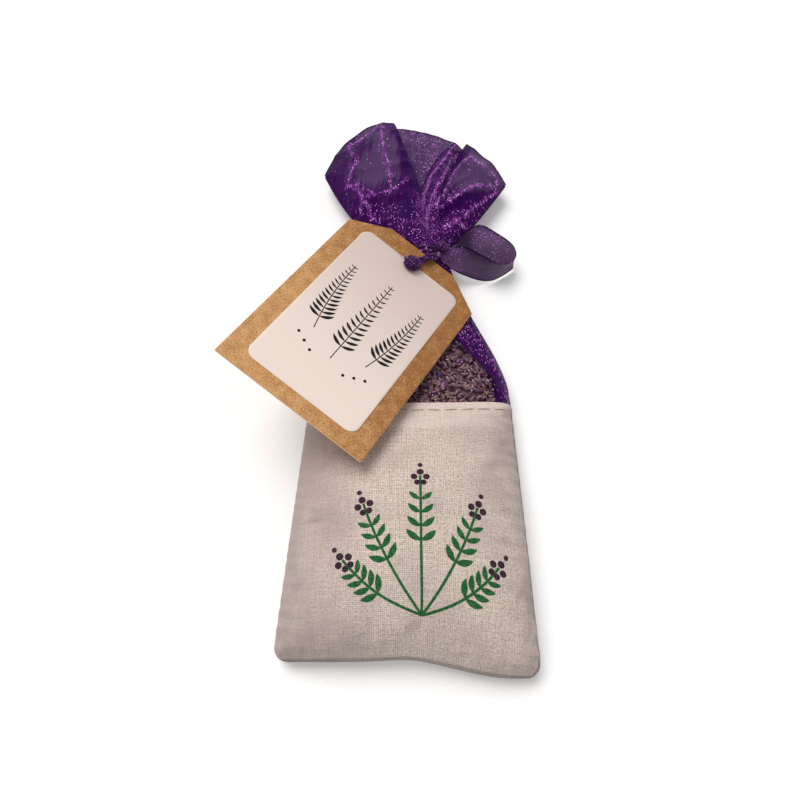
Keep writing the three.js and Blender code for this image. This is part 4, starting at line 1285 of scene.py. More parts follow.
def rim_at(rim, share):
    """The rim's values at a share of its width: straight runs between its points, slightly rounded."""
    fine = np.linspace(0, 1, RIM_STEPS)
    reach = np.arange(-FOLD_STEPS, FOLD_STEPS + 1) * (fine[1] - fine[0])
    kernel = np.exp(-0.5 * (reach / FOLD_SOFTNESS) ** 2)
    kernel /= kernel.sum()
    rounded = []
    for column in rim[:, 1:].T:
        line = np.interp(fine, rim[:, 0] / RIM_PLACES, column)
        padded = np.pad(line, FOLD_STEPS, mode="edge")
        rounded.append(np.interp(share, fine, np.convolve(padded, kernel, mode="valid")))
    return rounded


# %% Ruffle
PLEATS = 7
PLEAT_DEPTH = 0.08
NECK_STRAIGHT = 0.1
LEFT_BULGE = 0.45  # power of the way out: 1 gives a straight side, less a side that bulges
RIGHT_BULGE = 0.85
FAN_START = 0.25  # shares of the way out between which the folds part
FAN_FULL = 0.95


def ruffle(rim, share, along, side):
    """From the neck's pleated ring (along 0) out to the rim (along 1)."""
    angle = np.pi * (share - 0.5)
    inner, outer, reach, height = rim_at(rim, share)
    degrees = np.radians(lerp(inner, outer, smoothstep(along, FAN_START, FAN_FULL)))
    free = np.clip((along - NECK_STRAIGHT) / (1 - NECK_STRAIGHT), 0, 1)
    opened = free ** lerp(LEFT_BULGE, RIGHT_BULGE, smoothstep(share, 0, 0.6))
    level = level_share(angle)
    pleat = 1 + PLEAT_DEPTH * (1 - smoothstep(along, 0, 0.4)) * np.cos(2 * PLEATS * angle)
    neck_side = NECK_Z + side * (SEAM_GAP / 2 + NECK_HALF_HEIGHT * level**FULLNESS * pleat)
    x = NECK_SHIFT + lerp(NECK_HALF_WIDTH * np.sin(angle) * pleat, reach * np.sin(degrees), opened)
    y = Y_NECK + reach * np.cos(degrees) * along
    z = lerp(neck_side, height + side * RIM_STAND, smoothstep(along, 0, 0.7))
    return stacked(x, y, z)


# %% Creases
# Each chain of points is a crease, as [degrees to the right of straight up, distance from the neck]
CREASES = [
    [(-17, 60), (-20, 50), (-21, 40), (-27, 31)],
    [(-33, 55), (-34, 47), (-40, 44), (-46, 41), (-44, 37), (-47, 31), (-54, 25)],
    [(-17, 60), (-25, 56), (-33, 55)],
    [(-46, 41), (-41, 38), (-40, 31), (-32, 30), (-16, 31)],
    [(12, 49), (6, 39), (1, 34), (-5, 25), (-8, 18)],
    [(13, 45), (11, 36), (5, 28), (-3, 18), (-7, 11)],
    [(20, 44), (14, 36), (11, 26), (5, 19)],
    [(39, 38), (28, 31), (21, 24), (8, 19)],
    [(39, 38), (41, 36), (39, 27), (37, 20), (25, 11)],
    [(20, 44), (24, 42), (30, 42), (37, 41), (39, 38)],
    [(-10, 25), (-7, 18), (-7, 11)],
    [(-55, 30), (-47, 33), (-39, 31)],
    [(23, 12), (31, 17), (45, 17)],
]
# Cloth that lies in shadow beside its folds, given in the same way and darkened with painted shade
HOLLOWS = [
    [(-12, 54), (-13, 37), (-12, 28)],
    [(-18, 26), (-25, 18)],
    [(16, 18), (29, 25), (41, 34)],
    [(16, 48), (14, 40)],
]
CREASE_WIDTH = 3.2
CREASE_HEIGHT = 0.9
CREASE_LINE = 0.6  # half width of the painted highlight along a crease


def fan_point(degrees, distance):
    """The neck plus the distance times the sine and cosine of the angle."""
    turn = np.radians(degrees)
    return np.array([NECK_SHIFT + distance * np.sin(turn), Y_NECK + distance * np.cos(turn)])


def from_chains(points, chains):
    """Distance of each point, seen from above, to the nearest of these chains."""
    plan = points[..., :2]
    nearest = np.full(plan.shape[:2], 1e3)
    for chain in chains:
        corners = [fan_point(*corner) for corner in chain]
        for start, end in zip(corners[:-1], corners[1:]):
            run = end - start
            share = np.clip((plan - start) @ run / (run @ run), 0, 1)
            gap = np.linalg.norm(plan - start - share[..., None] * run, axis=-1)
            nearest = np.minimum(nearest, gap)
    return nearest


# %% [markdown]
# Below the neck the same panel covers the lavender and tucks into the hem. There it is one thin layer,
# which shows the buds, and it doubles along the side seams. Small gathers run into the neck.

# %% Bag part of the organza
ORGANZA_TUCK = 6
UNDER_HEM = 1.65
HEM_STEP = 6
GATHER_DEPTH = 0.55
GATHER_COUNT = 34  # waves of the gathers in a turn of one radian
GATHER_WANDER = 1.2
CRISP_DEPTH = 0.22  # small dents of stiff cloth over the lavender
CRISP_SIZE = 6
BAG_ROWS = 96


def bag_organza(front, share):
    """The bag's arch, sunk under the hem where it is tucked in, with gathers towards the neck."""
    surface = bag_front if front else bag_back
    angle = np.pi * (share - 0.5)
    y = np.linspace(Y_HEM - ORGANZA_TUCK, Y_NECK, BAG_ROWS)[:-1, None]
    points = surface(angle, y)
    sunk = lerp(UNDER_HEM, 0, smoothstep(y, Y_HEM + 0.5, Y_HEM + HEM_STEP)) * np.cos(angle) ** 0.3
    pleat = PLEAT_DEPTH * smoothstep(y, Y_NECK - 30, Y_NECK) * np.cos(2 * PLEATS * angle)
    points[..., 0] += half_width(y) * np.sin(angle) * pleat
    points[..., 2] += (points[..., 2] - seam_z(y)) * pleat
    gathers = GATHER_DEPTH * smoothstep(y, Y_HEM + 8, Y_NECK - 12) * np.cos(angle)
    gathers = gathers * (1 - smoothstep(y, Y_NECK - 9, Y_NECK - 3))
    ripple = gathers * np.cos(GATHER_COUNT * angle + GATHER_WANDER * waves(angle * 20, y, 26))
    crisp = CRISP_DEPTH * waves(points[..., 0], points[..., 1], CRISP_SIZE) * np.cos(angle)
    crisp = crisp * smoothstep(y, Y_HEM, Y_HEM + HEM_STEP)
    out = grid_normals(points) * (1 if front else -1)
    out[..., 2] = np.abs(out[..., 2]) * (1 if front else -1)
    return points + out * (ripple + crisp * (1 - towards_neck(y)) - sunk)[..., None]


# %% Organza panels
ORGANZA_COLUMNS = 301
RUFFLE_ROWS = 170
CRUMPLE = 0.4
CRUMPLE_SIZE = 13
CRUMPLE_FREE = (9, 22)  # distances from the neck between which creases and crumple set in
TENT_END = 0.86  # share of the way to the rim past which the creases flatten
RIM_LINE = 0.55  # width of the dark edge along the rim
RIM_TURN = 2.2  # the rim's left end is turned under by this much


def organza_points(front):
    """Bag and fan as one grid, the fan raised by tents along its creases and by ridged noise."""
    share = np.linspace(0, 1, ORGANZA_COLUMNS)[None, :]
    along = np.linspace(0, 1, RUFFLE_ROWS)[:, None]
    fan = ruffle(FRONT_RIM if front else BACK_RIM, share, along, 1 if front else -1)
    away = np.linalg.norm(fan[..., :2] - fan_point(0, 0), axis=-1)
    free = smoothstep(away, *CRUMPLE_FREE) * np.minimum(1, 4 * np.cos(np.pi * (share - 0.5)))
    tent = np.maximum(1 - from_chains(fan, CREASES) / CREASE_WIDTH, 0) * front
    tent = tent * (1 - smoothstep(along, TENT_END, 1))
    crumple = CRUMPLE * (1 - 2 * np.abs(waves(fan[..., 0], fan[..., 1], CRUMPLE_SIZE)))
    fan[..., 2] += free * (CREASE_HEIGHT * tent + crumple)
    fan[..., 2] = np.maximum(fan[..., 2], 0.4)
    points = np.concatenate([bag_organza(front, share), fan])
    return keep_under_tag(points) if front else points


# %% Values for the organza finish
# Flat facets lit grey-lilac by painted light: degrees to the right of straight up, distance from the neck,
# reach
LIT_GREY_SPOTS = [(-32, 41, 8), (-16, 50, 5), (-23, 58, 4), (23, 35, 9), (30, 42, 9), (-22, 42, 7)]
STRIP_AT_HEM = 0.365  # share of the width from the middle to the doubled strip along a seam
STRIP_CLIMB = 0.0105  # by which it comes nearer for each millimetre above the hem
STRIP_LIMITS = (0.13, 0.29)
SHEER_EDGE = (0.43, 0.48)  # past these shares the seam's edge is one thin layer again
GATHERED = (19, 27)  # heights above the hem between which the gathers close over the lavender
INNER_FAN = (16, 32)  # distances from the neck between which the glitter thins out
HOLLOW_REACH = 1.9
CREASE_GLOW = 2.4  # distance from a crease within which there are more glints
PATCH_SIZE = 12  # of the patches that have more glints than others
RAGGED_SIZE = 3.2  # length of the steps by which a crease's line thickens and thins
RAGGED_DEPTH = 0.75
# How many flecks shine, in a poor patch and in a rich one, and what is added near creases and the neck
FRONT_GLINTS = (0.02, 0.1)
BACK_GLINTS = (0.29, 0.69)
LINE_GLINTS = 1.3
GLOW_GLINTS = 0.16
INNER_GLINTS = 0.5
BAG_GLINTS = (0.24, 0.1)  # over the lavender and along the seams
STRIP_GLINTS = 0.8
HOLLOW_LOSS = 0.9  # share of the glints that a hollow hides
BACK_GREY = 0.9
TURN_LINE = 0.3  # half width of the line where the rim's left end is turned under


def away_from(points, degrees, distance):
    """Distance of each point, seen from above, from a place on the fan."""
    return np.linalg.norm(points[..., :2] - fan_point(degrees, distance), axis=-1)


def fan_values(points, front, patch):
    """Painted glints, greyness from painted light and painted highlights along the creases of the fan: clear
    over its facets, dark with painted shade in its hollows.
    """
    x, y = points[..., 0], points[..., 1]
    crease = from_chains(points, CREASES) if front else np.full(x.shape, 1e3)
    # where the hollows take painted shade
    hollow = bell(from_chains(points, HOLLOWS), HOLLOW_REACH) * front
    inner = 1 - smoothstep(away_from(points, 0, 0), *INNER_FAN)
    ragged = CREASE_LINE * (1 + RAGGED_DEPTH * np.clip(waves(x, y, RAGGED_SIZE), -1, 1))
    line = bell(crease, ragged)
    if front:
        field = lerp(*FRONT_GLINTS, patch) + GLOW_GLINTS * bell(crease, CREASE_GLOW) + INNER_GLINTS * inner
        # painted light on the lit facets, less painted shade in the hollows
        spots = sum(bell(away_from(points, *spot[:2]), spot[2]) for spot in LIT_GREY_SPOTS)
        grey = np.clip(spots, 0, 1) * (1 - inner) - hollow
    else:
        field = lerp(*BACK_GLINTS, patch)
        grey = BACK_GREY * (1 - inner)
    return np.maximum(LINE_GLINTS * line, field * (1 - HOLLOW_LOSS * hollow)), grey, line


def organza_values(points, front):
    """How closely the cloth covers what is behind it, how full of painted glints and how grey it is, partly
    by painted light (below 0, how dark in painted shade), its rim and the painted highlights of its creases."""
    bag = np.arange(points.shape[0])[:, None] < BAG_ROWS - 1
    share = np.linspace(0, 1, points.shape[1])[None, :]
    x, y = points[..., 0], points[..., 1]
    aside = np.abs(share - 0.5)
    strip = np.clip(STRIP_AT_HEM - STRIP_CLIMB * (y - Y_HEM), *STRIP_LIMITS)
    seam = smoothstep(aside, strip, strip + 0.06)
    sheer_edge = smoothstep(aside, *SHEER_EDGE)
    covered = np.maximum(seam, smoothstep(y - Y_HEM, *GATHERED))
    patch = smoothstep(waves(x, y, PATCH_SIZE), -0.1, 0.9)
    fan_glint, fan_grey, line = fan_values(points, front, patch)
    glitter = smoothstep(aside, strip + 0.04, strip + 0.09) * lerp(0.6, 1, patch)
    bag_glint = lerp(*BAG_GLINTS, seam) + STRIP_GLINTS * glitter
    to_rim = lengths_along(points, 0)
    to_rim = to_rim[-1:] - to_rim
    turned = bell(to_rim - RIM_TURN, TURN_LINE) * (1 - smoothstep(share, 0.14, 0.2))
    rim = np.maximum(1 - smoothstep(to_rim, RIM_LINE, RIM_LINE + 0.4), turned)
    return {
        "cover": np.where(bag, covered - 0.2 * sheer_edge, 1),
        "glint": np.where(bag, bag_glint, fan_glint),
        "grey": np.where(bag, sheer_edge - 0.3 * seam, fan_grey),
        "rim": rim,
        "crease": np.where(bag, 0, line),
    }


# %% [markdown]
# Its finish: a thin purple film with a fine mesh, nearly clear over the lavender and dark where it lies
# double. The glints are flecks of pale lilac in the cells of a fine pattern, each cell drawn or left by
# chance. The value stored on the mesh says how many of them shine.

# %% Organza finish
ORGANZA_DEEP = rgb(50, 5, 70)
ORGANZA_GREY = rgb(78, 56, 93)
ORGANZA_HOLLOW_SHADE = rgb(40, 2, 66)
ORGANZA_RIM = rgb(34, 10, 50)
GLINT_PINK = rgb(218, 112, 234)
GLINT_WHITE = rgb(252, 226, 254)
CREASE_HIGHLIGHT_PINK = rgb(150, 62, 172)
FLECK = 0.42  # size of a glint


def glints(tree, place, amount):
    """1 in the flecks that shine: small spots, kept where a drawn number is below the amount."""
    cells = tree.nodes.new("ShaderNodeTexVoronoi")
    cells.inputs["Scale"].default_value = 1 / FLECK
    tree.links.new(place, cells.inputs["Vector"])
    drawn = node(tree, "SeparateColor", {0: cells.outputs["Color"]})
    shines = ramp(tree, maths(tree, "SUBTRACT", amount, drawn), -0.02, 0.06)
    spot = ramp(tree, cells.outputs["Distance"], 0.3, 0.5, 1.0, 0.0)
    colour = node(tree, "SeparateColor", {0: cells.outputs["Color"]}, output=1)
    return times(tree, shines, spot), colour


def organza_finish():
    """A film as dense as the stored cover, purple to grey partly by painted light and shade, with painted
    glints of pale lilac.
    """
    material, tree, shader = new_finish(
        "organza_sheer",
        Roughness=0.45,
        Sheen_Weight=0.03,
        Sheen_Roughness=0.4,
        Sheen_Tint=rgb(190, 120, 226),
        Specular_IOR_Level=0.08,
        Specular_Tint=rgb(190, 130, 230),
    )
    place = cloth_place(tree)
    clusters = ramp(tree, cloudy(tree, place, 0.45, 3), 0.32, 0.62, 0.3, 1.0)
    glint = value_of(tree, "glint")
    spot, colour = glints(tree, place, times(tree, glint, times(tree, clusters, 0.65)))
    # painted light and shade in streaks along the small pleats
    folds = cloudy(tree, stretched(tree, place, (0.8, 0.07, 1)), 1.0, 3)
    greyness = plus(tree, value_of(tree, "grey"), ramp(tree, folds, 0.3, 0.7, -0.35, 0.3))
    base = blend(tree, ramp(tree, greyness, 0.0, 1.0), ORGANZA_DEEP, ORGANZA_GREY)
    # painted shade in the hollows, where the greyness is below 0
    base = blend(tree, ramp(tree, greyness, -1.0, 0.0, 1.0, 0.0), base, ORGANZA_HOLLOW_SHADE)
    base = blend(tree, value_of(tree, "rim"), base, ORGANZA_RIM)
    crease = value_of(tree, "crease")
    # painted highlight along the creases
    base = blend(tree, times(tree, crease, times(tree, clusters, 0.4)), base, CREASE_HIGHLIGHT_PINK)
    cover = value_of(tree, "cover")
    whiter = plus(tree, times(tree, crease, 0.3), ramp(tree, cover, 0, 1, 0.35, 0))
    shine = blend(tree, ramp(tree, plus(tree, colour, whiter), 0.6, 1.1), GLINT_PINK, GLINT_WHITE)
    base = blend(tree, times(tree, spot, 0.9), base, shine)
    tree.links.new(base, shader.inputs["Base Color"])
    film = ramp(tree, cover, 0, 1, 0.18, 0.985)
    film = maths(tree, "MAXIMUM", film, times(tree, spot, 0.95))
    film = maths(tree, "MAXIMUM", film, times(tree, value_of(tree, "rim"), 0.97))
    tree.links.new(film, shader.inputs["Alpha"])
    grain = cloudy(tree, place, 3.0, 2, 0.7)
    tree.links.new(bumped(tree, grain, 0.3, 0.3), shader.inputs["Normal"])
    return material


organza = organza_finish()
for front, node_name in ((True, "organza_front_panel"), (False, "organza_back_panel")):
    cloth_points = organza_points(front)
    values = organza_values(cloth_points, front)
    title = "organza_front" if front else "organza_back"
    panel = grid_piece(title, cloth_points, organza, cloth_map(cloth_points), values, flip=not front)
    belongs(panel, "sachet", "organza", node_name)

# %% [markdown]
# ## Ribbon
# One length of sheer ribbon ties the neck. It is wound round it in a bunch, knotted on top, leaves a loop
# at the right and goes down through the tag's hole. Ribbon has a firm dark edge on both sides, its
# selvage. Where it is bunched it looks like a cord of folds.

# %% Ribbon finish
RIBBON_DEEP = rgb(60, 32, 70)
RIBBON_GREY = rgb(102, 72, 116)
SELVAGE = rgb(26, 6, 36)
BUNCH_DEEP = rgb(26, 4, 36)
BUNCH_GREY = rgb(54, 16, 72)


def ribbon_finish(name, deep, grey, film, shining):
    """Sheer ribbon: fine lines along it, dark selvages and a few painted glints, with a paler painted sheen
    where they are.
    """
    material, tree, shader = new_finish(
        name,
        Roughness=0.42,
        Sheen_Weight=0.08,
        Sheen_Roughness=0.35,
        Sheen_Tint=rgb(206, 150, 226),
        Specular_IOR_Level=0.25,
        Specular_Tint=rgb(206, 160, 236),
    )
    place = cloth_place(tree)
    spot, colour = glints(tree, place, times(tree, value_of(tree, "glint"), shining))
    lines = cloudy(tree, stretched(tree, place, (0.12, 5.0, 1)), 1.0, 2)
    # painted sheen: paler where more glints are stored
    tone = plus(tree, lines, times(tree, value_of(tree, "glint"), 0.35))
    base = blend(tree, ramp(tree, tone, 0.4, 0.9), deep, grey)
    base = blend(tree, value_of(tree, "rim"), base, SELVAGE)
    shine = blend(tree, ramp(tree, colour, 0.55, 1.0), GLINT_PINK, GLINT_WHITE)
    base = blend(tree, times(tree, spot, 0.85), base, shine)
    tree.links.new(base, shader.inputs["Base Color"])
    solid = maths(tree, "MAXIMUM", value_of(tree, "rim"), spot)
    tree.links.new(ramp(tree, solid, 0, 1, film, 1.0), shader.inputs["Alpha"])
    tree.links.new(bumped(tree, lines, 0.5, 0.2), shader.inputs["Normal"])
    return material


sheer_ribbon = ribbon_finish("ribbon_sheer", RIBBON_DEEP, RIBBON_GREY, 0.975, 0.3)
bunched_ribbon = ribbon_finish("ribbon_bunched", BUNCH_DEEP, BUNCH_GREY, 1.0, 0.45)

# %% Wrap round the neck
WRAP_WIDTH = 7
WRAP_THICKNESS = 1.7
WRAP_HALF_WIDTH = 6.45
WRAP_HALF_HEIGHT = 3.95
WRAP_FOLDS = 4
WRAP_FOLD_LOW = 0.45  # height of the wrap between its folds, as a share of that on them
WRAP_WANDER = 1.1
WRAP_PINCH = 0.12


def neck_wrap():
    """A ring whose section is a flat band, rippled into folds that wander as they go round."""
    turn = np.linspace(0, 2 * np.pi, 145)[:, None]
    around = np.linspace(0, 2 * np.pi, 65)[None, :]
    across = np.sin(around)
    outside = level_share(around) ** 0.4
    folds = 0.5 + 0.5 * np.cos(np.pi * WRAP_FOLDS * across + WRAP_WANDER * np.sin(2 * turn) + turn)
    out = WRAP_THICKNESS * outside * lerp(WRAP_FOLD_LOW, 1.0, folds)
    narrow = 1 - WRAP_PINCH * np.sin(3 * turn + 0.6)
    x = NECK_SHIFT + (WRAP_HALF_WIDTH + out) * np.sin(turn)
    z = NECK_Z + (WRAP_HALF_HEIGHT + out) * np.cos(turn)
    y = Y_NECK + WRAP_WIDTH / 2 * across * narrow + 0.3 * np.sin(turn)
    points = stacked(x, y, z)
    return points, stacked(turn * WRAP_HALF_WIDTH, around * 2)


def bunched(name, points, uv, glint=0.4):
    """A closed bunch of ribbon with no selvage showing."""
    even = np.full(points.shape[:2], glint)
    return grid_piece(name, points, bunched_ribbon, uv, {"glint": even, "rim": 0 * even}, merge=True)


wrap_points, wrap_map = neck_wrap()
belongs(bunched("ribbon_wrap", wrap_points, wrap_map), "sachet", "ribbon", "neck_ribbon")

# %% [markdown]
# A knot in thin ribbon is a small ball of strands. It is made as a ball whose surface is grooved by
# strands that wind round it and fade out at the poles. Strands tied one by one would look no better at
# this size.


# %% Knots
def strand_ball(centre, radii, axes, strands, winding, depth):
    """A ball: latitude by longitude, its radius grooved by cos(strands x longitude + winding x latitude)."""
    up = np.linspace(0, np.pi, 41)[:, None]
    turn = np.linspace(0, 2 * np.pi, 65)[None, :]
    groove = np.abs(np.cos(strands / 2 * turn + winding * up)) ** 0.6
    size = 1 - depth * (1 - groove) * np.sin(up)
    local = stacked(np.sin(up) * np.cos(turn), np.sin(up) * np.sin(turn), np.cos(up))
    points = centre + (local * size[..., None] * radii) @ axes
    return points, stacked(turn * radii[0], up * radii[0])


KNOT_OVER = 1.02  # the knot's size over that of its solid
KNOT_STRANDS = {"strands": 6, "winding": 2.2, "depth": 0.28}
knot_low, knot_high = (np.array(corner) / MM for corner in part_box("ribbon_knot"))
knot_centre = (knot_low + knot_high) / 2
knot_radii = (knot_high - knot_low) / 2 * KNOT_OVER
knot_points, knot_map = strand_ball(knot_centre, knot_radii, np.eye(3)[[2, 0, 1]], **KNOT_STRANDS)
belongs(bunched("ribbon_knot_top", knot_points, knot_map), "sachet", "ribbon", "ribbon_knot")

# %% [markdown]
# The loop is the ribbon at its full width. One strand starts on the neck beside the knot and runs to the
# right, turns at the loop's tip and comes back behind. It stands nearly on edge, leaning towards the ruffle.
# Its middle line is a smooth curve through a few points, and its width opens out from the bunched root.

# %% Loop
RIBBON_WIDTH = 11
# Each row: the middle line's place, the ribbon's width and its lean from upright, in degrees
LOOP_ROUTE = np.array([
    (11.5, 91.6, 11.8, 5.0, 62),
    (16.2, 92.0, 8.8, 8.5, 52),
    (20.5, 91.5, 7.5, 10.0, 42),
    (25.4, 90.0, 6.2, 10.0, 27),
    (29.6, 88.9, 5.8, 9.8, 5),
    (33.0, 89.9, 5.0, 8.8, -8),
    (35.8, 91.9, 4.3, 7.0, -6),
    (37.3, 94.1, 4.4, 6.8, 8),
    (35.9, 96.0, 5.0, 8.8, 28),
    (31.1, 98.2, 5.7, 11.0, 42),
    (25.3, 101.6, 5.8, 11.0, 42),
    (20.5, 101.2, 5.6, 8.0, 30),
    (16.8, 97.2, 5.8, 5.0, 12),
])
SELVAGE_SHARE = 0.9  # of the half width, past which the selvage starts
LOOP_STEPS = 161
LOOP_CUP = 0.35
LOOP_RIPPLE = 0.18
TIP_PLACE = 0.55  # share of the way round at which the loop turns back
TIP_REACH = 0.05
TIP_DARK = 0.5


def smooth_through(values, count):
    """A smooth curve through values (Catmull-Rom). At each value it runs as the line from the value
    before to the one after: first + t out + t^2 (3 rise - 2 out - into) + t^3 (out + into - 2 rise)."""
    ahead = np.concatenate([values[1:], 2 * values[-1:] - values[-2:-1]])
    before = np.concatenate([2 * values[:1] - values[1:2], values[:-1]])
    rate = (ahead - before) / 2
    place_now = np.linspace(0, len(values) - 1, count)
    span = np.minimum(place_now.astype(int), len(values) - 2)
    t = (place_now - span).reshape(-1, *[1] * (values.ndim - 1))
    first = values[span]
    rise = values[span + 1] - first
    out, into = rate[span], rate[span + 1]
    return first + t * out + t**2 * (3 * rise - 2 * out - into) + t**3 * (out + into - 2 * rise)


def ribbon_loop():
    """The route's curve, spread along a leaning width, slightly cupped and rippled across."""
    route = smooth_through(LOOP_ROUTE, LOOP_STEPS)
    middle = route[:, None, :3]
    half = route[:, 3:4] / 2
    lean = np.radians(route[:, 4:])
    w = np.linspace(-1, 1, 25)[None, :]
    ahead = unit(np.gradient(middle[:, 0], axis=0))[:, None, :]
    way = np.stack([0 * lean, np.sin(lean), np.cos(lean)], axis=-1)
    out = unit(np.cross(ahead, way))
    along = lengths_along(middle, 0)
    cup = LOOP_CUP * (w**2 - 0.4) + LOOP_RIPPLE * np.sin(along / 2.4 + 2 * w)
    return middle + way * (w * half)[..., None] + out * (cup * half / RIBBON_WIDTH * 2)[..., None]


def make_loop():
    """The loop as a piece: dark at its selvages and tip, with most glints behind and at its root."""
    points = ribbon_loop()
    t = np.linspace(0, 1, points.shape[0])[:, None]
    w = np.linspace(-1, 1, points.shape[1])[None, :]
    turned = TIP_DARK * bell(t - TIP_PLACE, TIP_REACH)
    rim = np.maximum(smoothstep(np.abs(w), SELVAGE_SHARE - 0.05, SELVAGE_SHARE), turned)
    back = smoothstep(t, 0.5, 0.6) * (1 - smoothstep(t, 0.85, 0.9))
    glint = 0.1 + 0.7 * back + 0.6 * (1 - smoothstep(t, 0.05, 0.2)) + 0 * w
    uv = stacked(lengths_along(points, 0), w * RIBBON_WIDTH / 2)
    return grid_piece("ribbon_loop_right", points, sheer_ribbon, uv, {"glint": glint, "rim": rim})


loop = make_loop()
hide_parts("ribbon_loop")
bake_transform(loop)

# %% [markdown]
# The tie is the ribbon twisted into a cord: out of the knot, over the tag's top edge, through its hole
# and back underneath. It ends at the hole in a lump where it is knotted off.

# %% Tie
TIE_RADIUS = 1.35
TIE_HALF_GAP = 1.8
TIE_REACH = 7.9
TIE_LEAN = 4
TIE_LOBES = 3
TIE_TWIST = 0.9  # turns of the lobes for each 10 mm
LUMP_PLACE = (-0.3, -1.0, 1.9)
LUMP_RADII = np.array([3.0, 2.8, 2.0])
LUMP_STRANDS = {"strands": 5, "winding": 3.0, "depth": 0.25}
TIE_GLINT = 0.45
LUMP_GLINT = 0.3


def tie_path():
    """A long ring in the tag's own axes: two straight runs joined by half circles."""
    turn = np.linspace(0, 2 * np.pi, 241)
    bend = np.sin(turn)
    y = TIE_HALF_GAP * bend + np.where(bend > 0, TIE_REACH, TIE_HALF_GAP)
    z = TIE_HALF_GAP * np.cos(turn)
    return np.stack([TIE_LEAN * y / TIE_REACH, y, z], axis=-1)


def even_steps(path, count):
    """The same path with its points evenly spaced."""
    run = lengths_along(path[:, None, :], 0)[:, 0]
    wanted = np.linspace(0, run[-1], count)
    return np.stack([np.interp(wanted, run, column) for column in path.T], axis=-1), wanted


def twisted_tie():
    """A lobed ring carried along the path, turning as it goes, so that it closes on itself."""
    path, run = even_steps(tie_path(), 161)
    ahead = unit(np.roll(path, -1, axis=0) - np.roll(path, 1, axis=0))
    ahead[0] = ahead[-1] = unit(path[1] - path[-2])
    side = np.array([1.0, 0, 0])
    top = np.cross(side, ahead)
    turn = np.linspace(0, 2 * np.pi, 37)[None, :]
    twists = np.round(TIE_TWIST * run[-1] / 10)
    twist = (2 * np.pi * twists * run / run[-1])[:, None]
    radius = TIE_RADIUS * (0.84 + 0.16 * np.cos(TIE_LOBES * turn + TIE_LOBES * twist))
    ring = side * np.cos(turn)[..., None] + top[:, None, :] * np.sin(turn)[..., None]
    local = path[:, None, :] + radius[..., None] * ring
    uv = stacked(run[:, None], turn + twist)
    return on_tag(local), uv


tie_points, tie_map = twisted_tie()
belongs(bunched("ribbon_tie", tie_points, tie_map, TIE_GLINT), "tie", "ribbon", "tag_tie")
lump_axes = np.stack([TAG_ACROSS, TAG_OUT, TAG_UP])
lump_centre = on_tag(np.array(LUMP_PLACE))
lump_points, lump_map = strand_ball(lump_centre, LUMP_RADII[[0, 2, 1]], lump_axes, **LUMP_STRANDS)
belongs(bunched("ribbon_tie_end", lump_points, lump_map, LUMP_GLINT), "tie", "ribbon")

# %% [markdown]
# ## Tag
# The tag is kraft card with its two top corners cut off, and a hole punched between them. A grid that
# runs from the hole's rim out to the card's edge, over it and back underneath makes the whole card as
# one closed skin. A hole cut with a Boolean would leave long thin faces. The cut edges show paler fibre
# than the faces.

# %% Card finishes
KRAFT_MID = rgb(196, 145, 94)
KRAFT_DARK = rgb(148, 98, 54)
KRAFT_PALE = rgb(226, 178, 124)
KRAFT_CUT = rgb(226, 190, 146)
KRAFT_SPECK = rgb(96, 58, 28)


def slope(tree, place, way):
    """Height on an even slope over the map: the place's dot product with a direction."""
    return node(tree, "VectorMath", {0: place, 1: way}, output=1, operation="DOT_PRODUCT")


def kraft_finish():
    """Brown fibres: soft clouds, short streaks across the card, dark specks and pale ones, and painted shade
    darker towards the right and the hole.
    """
    material, tree, shader = new_finish("kraft_card", Roughness=0.85, Specular_IOR_Level=0.25)
    place = cloth_place(tree)
    fibres = cloudy(tree, stretched(tree, place, (1.6, 2.6, 1)), 1.0, 4, 0.85)
    clouds = cloudy(tree, place, 0.3, 3)
    tone = plus(tree, times(tree, fibres, 0.75), times(tree, clouds, 0.25))
    # painted shade: darker towards the right side and the hole
    shade_to_hole = slope(tree, place, (1.0, 0.8, 0.0))
    tone = maths(tree, "SUBTRACT", tone, ramp(tree, shade_to_hole, -60, 5, -0.03, 0.105))
    base = blend(tree, ramp(tree, tone, 0.38, 0.5), KRAFT_DARK, KRAFT_MID)
    base = blend(tree, ramp(tree, tone, 0.49, 0.62), base, KRAFT_PALE)
    specks = ramp(tree, cloudy(tree, place, 2.4, 2), 0.56, 0.64)
    base = blend(tree, times(tree, specks, 0.5), base, KRAFT_SPECK)
    base = blend(tree, value_of(tree, "cut"), base, KRAFT_CUT)
    tree.links.new(base, shader.inputs["Base Color"])
    tree.links.new(bumped(tree, fibres, 0.3, 0.12), shader.inputs["Normal"])
    return material


LABEL_PALE = rgb(238, 222, 213)
LABEL_SHADE = rgb(210, 192, 185)


def label_finish():
    """Smooth white paper, with painted shade making it a little darker towards the hole."""
    material, tree, shader = new_finish("label_paper", Roughness=0.5, Specular_IOR_Level=0.35)
    place = cloth_place(tree)
    # painted shade, darker towards the hole
    fade = ramp(tree, slope(tree, place, (0.2, 1.0, 0.0)), -60, 5)
    base = blend(tree, fade, LABEL_PALE, LABEL_SHADE)
    tree.links.new(base, shader.inputs["Base Color"])
    tree.links.new(bumped(tree, cloudy(tree, place, 1.2, 3), 0.08, 0.1), shader.inputs["Normal"])
    return material


kraft = kraft_finish()
paper = label_finish()

# %% Card
TAG_CUT_ACROSS = 12.3
TAG_CUT_DOWN = 8
HOLE_RADIUS = 2.5
CORNER_WEAR = 0.25
CARD_BEVEL = 0.07


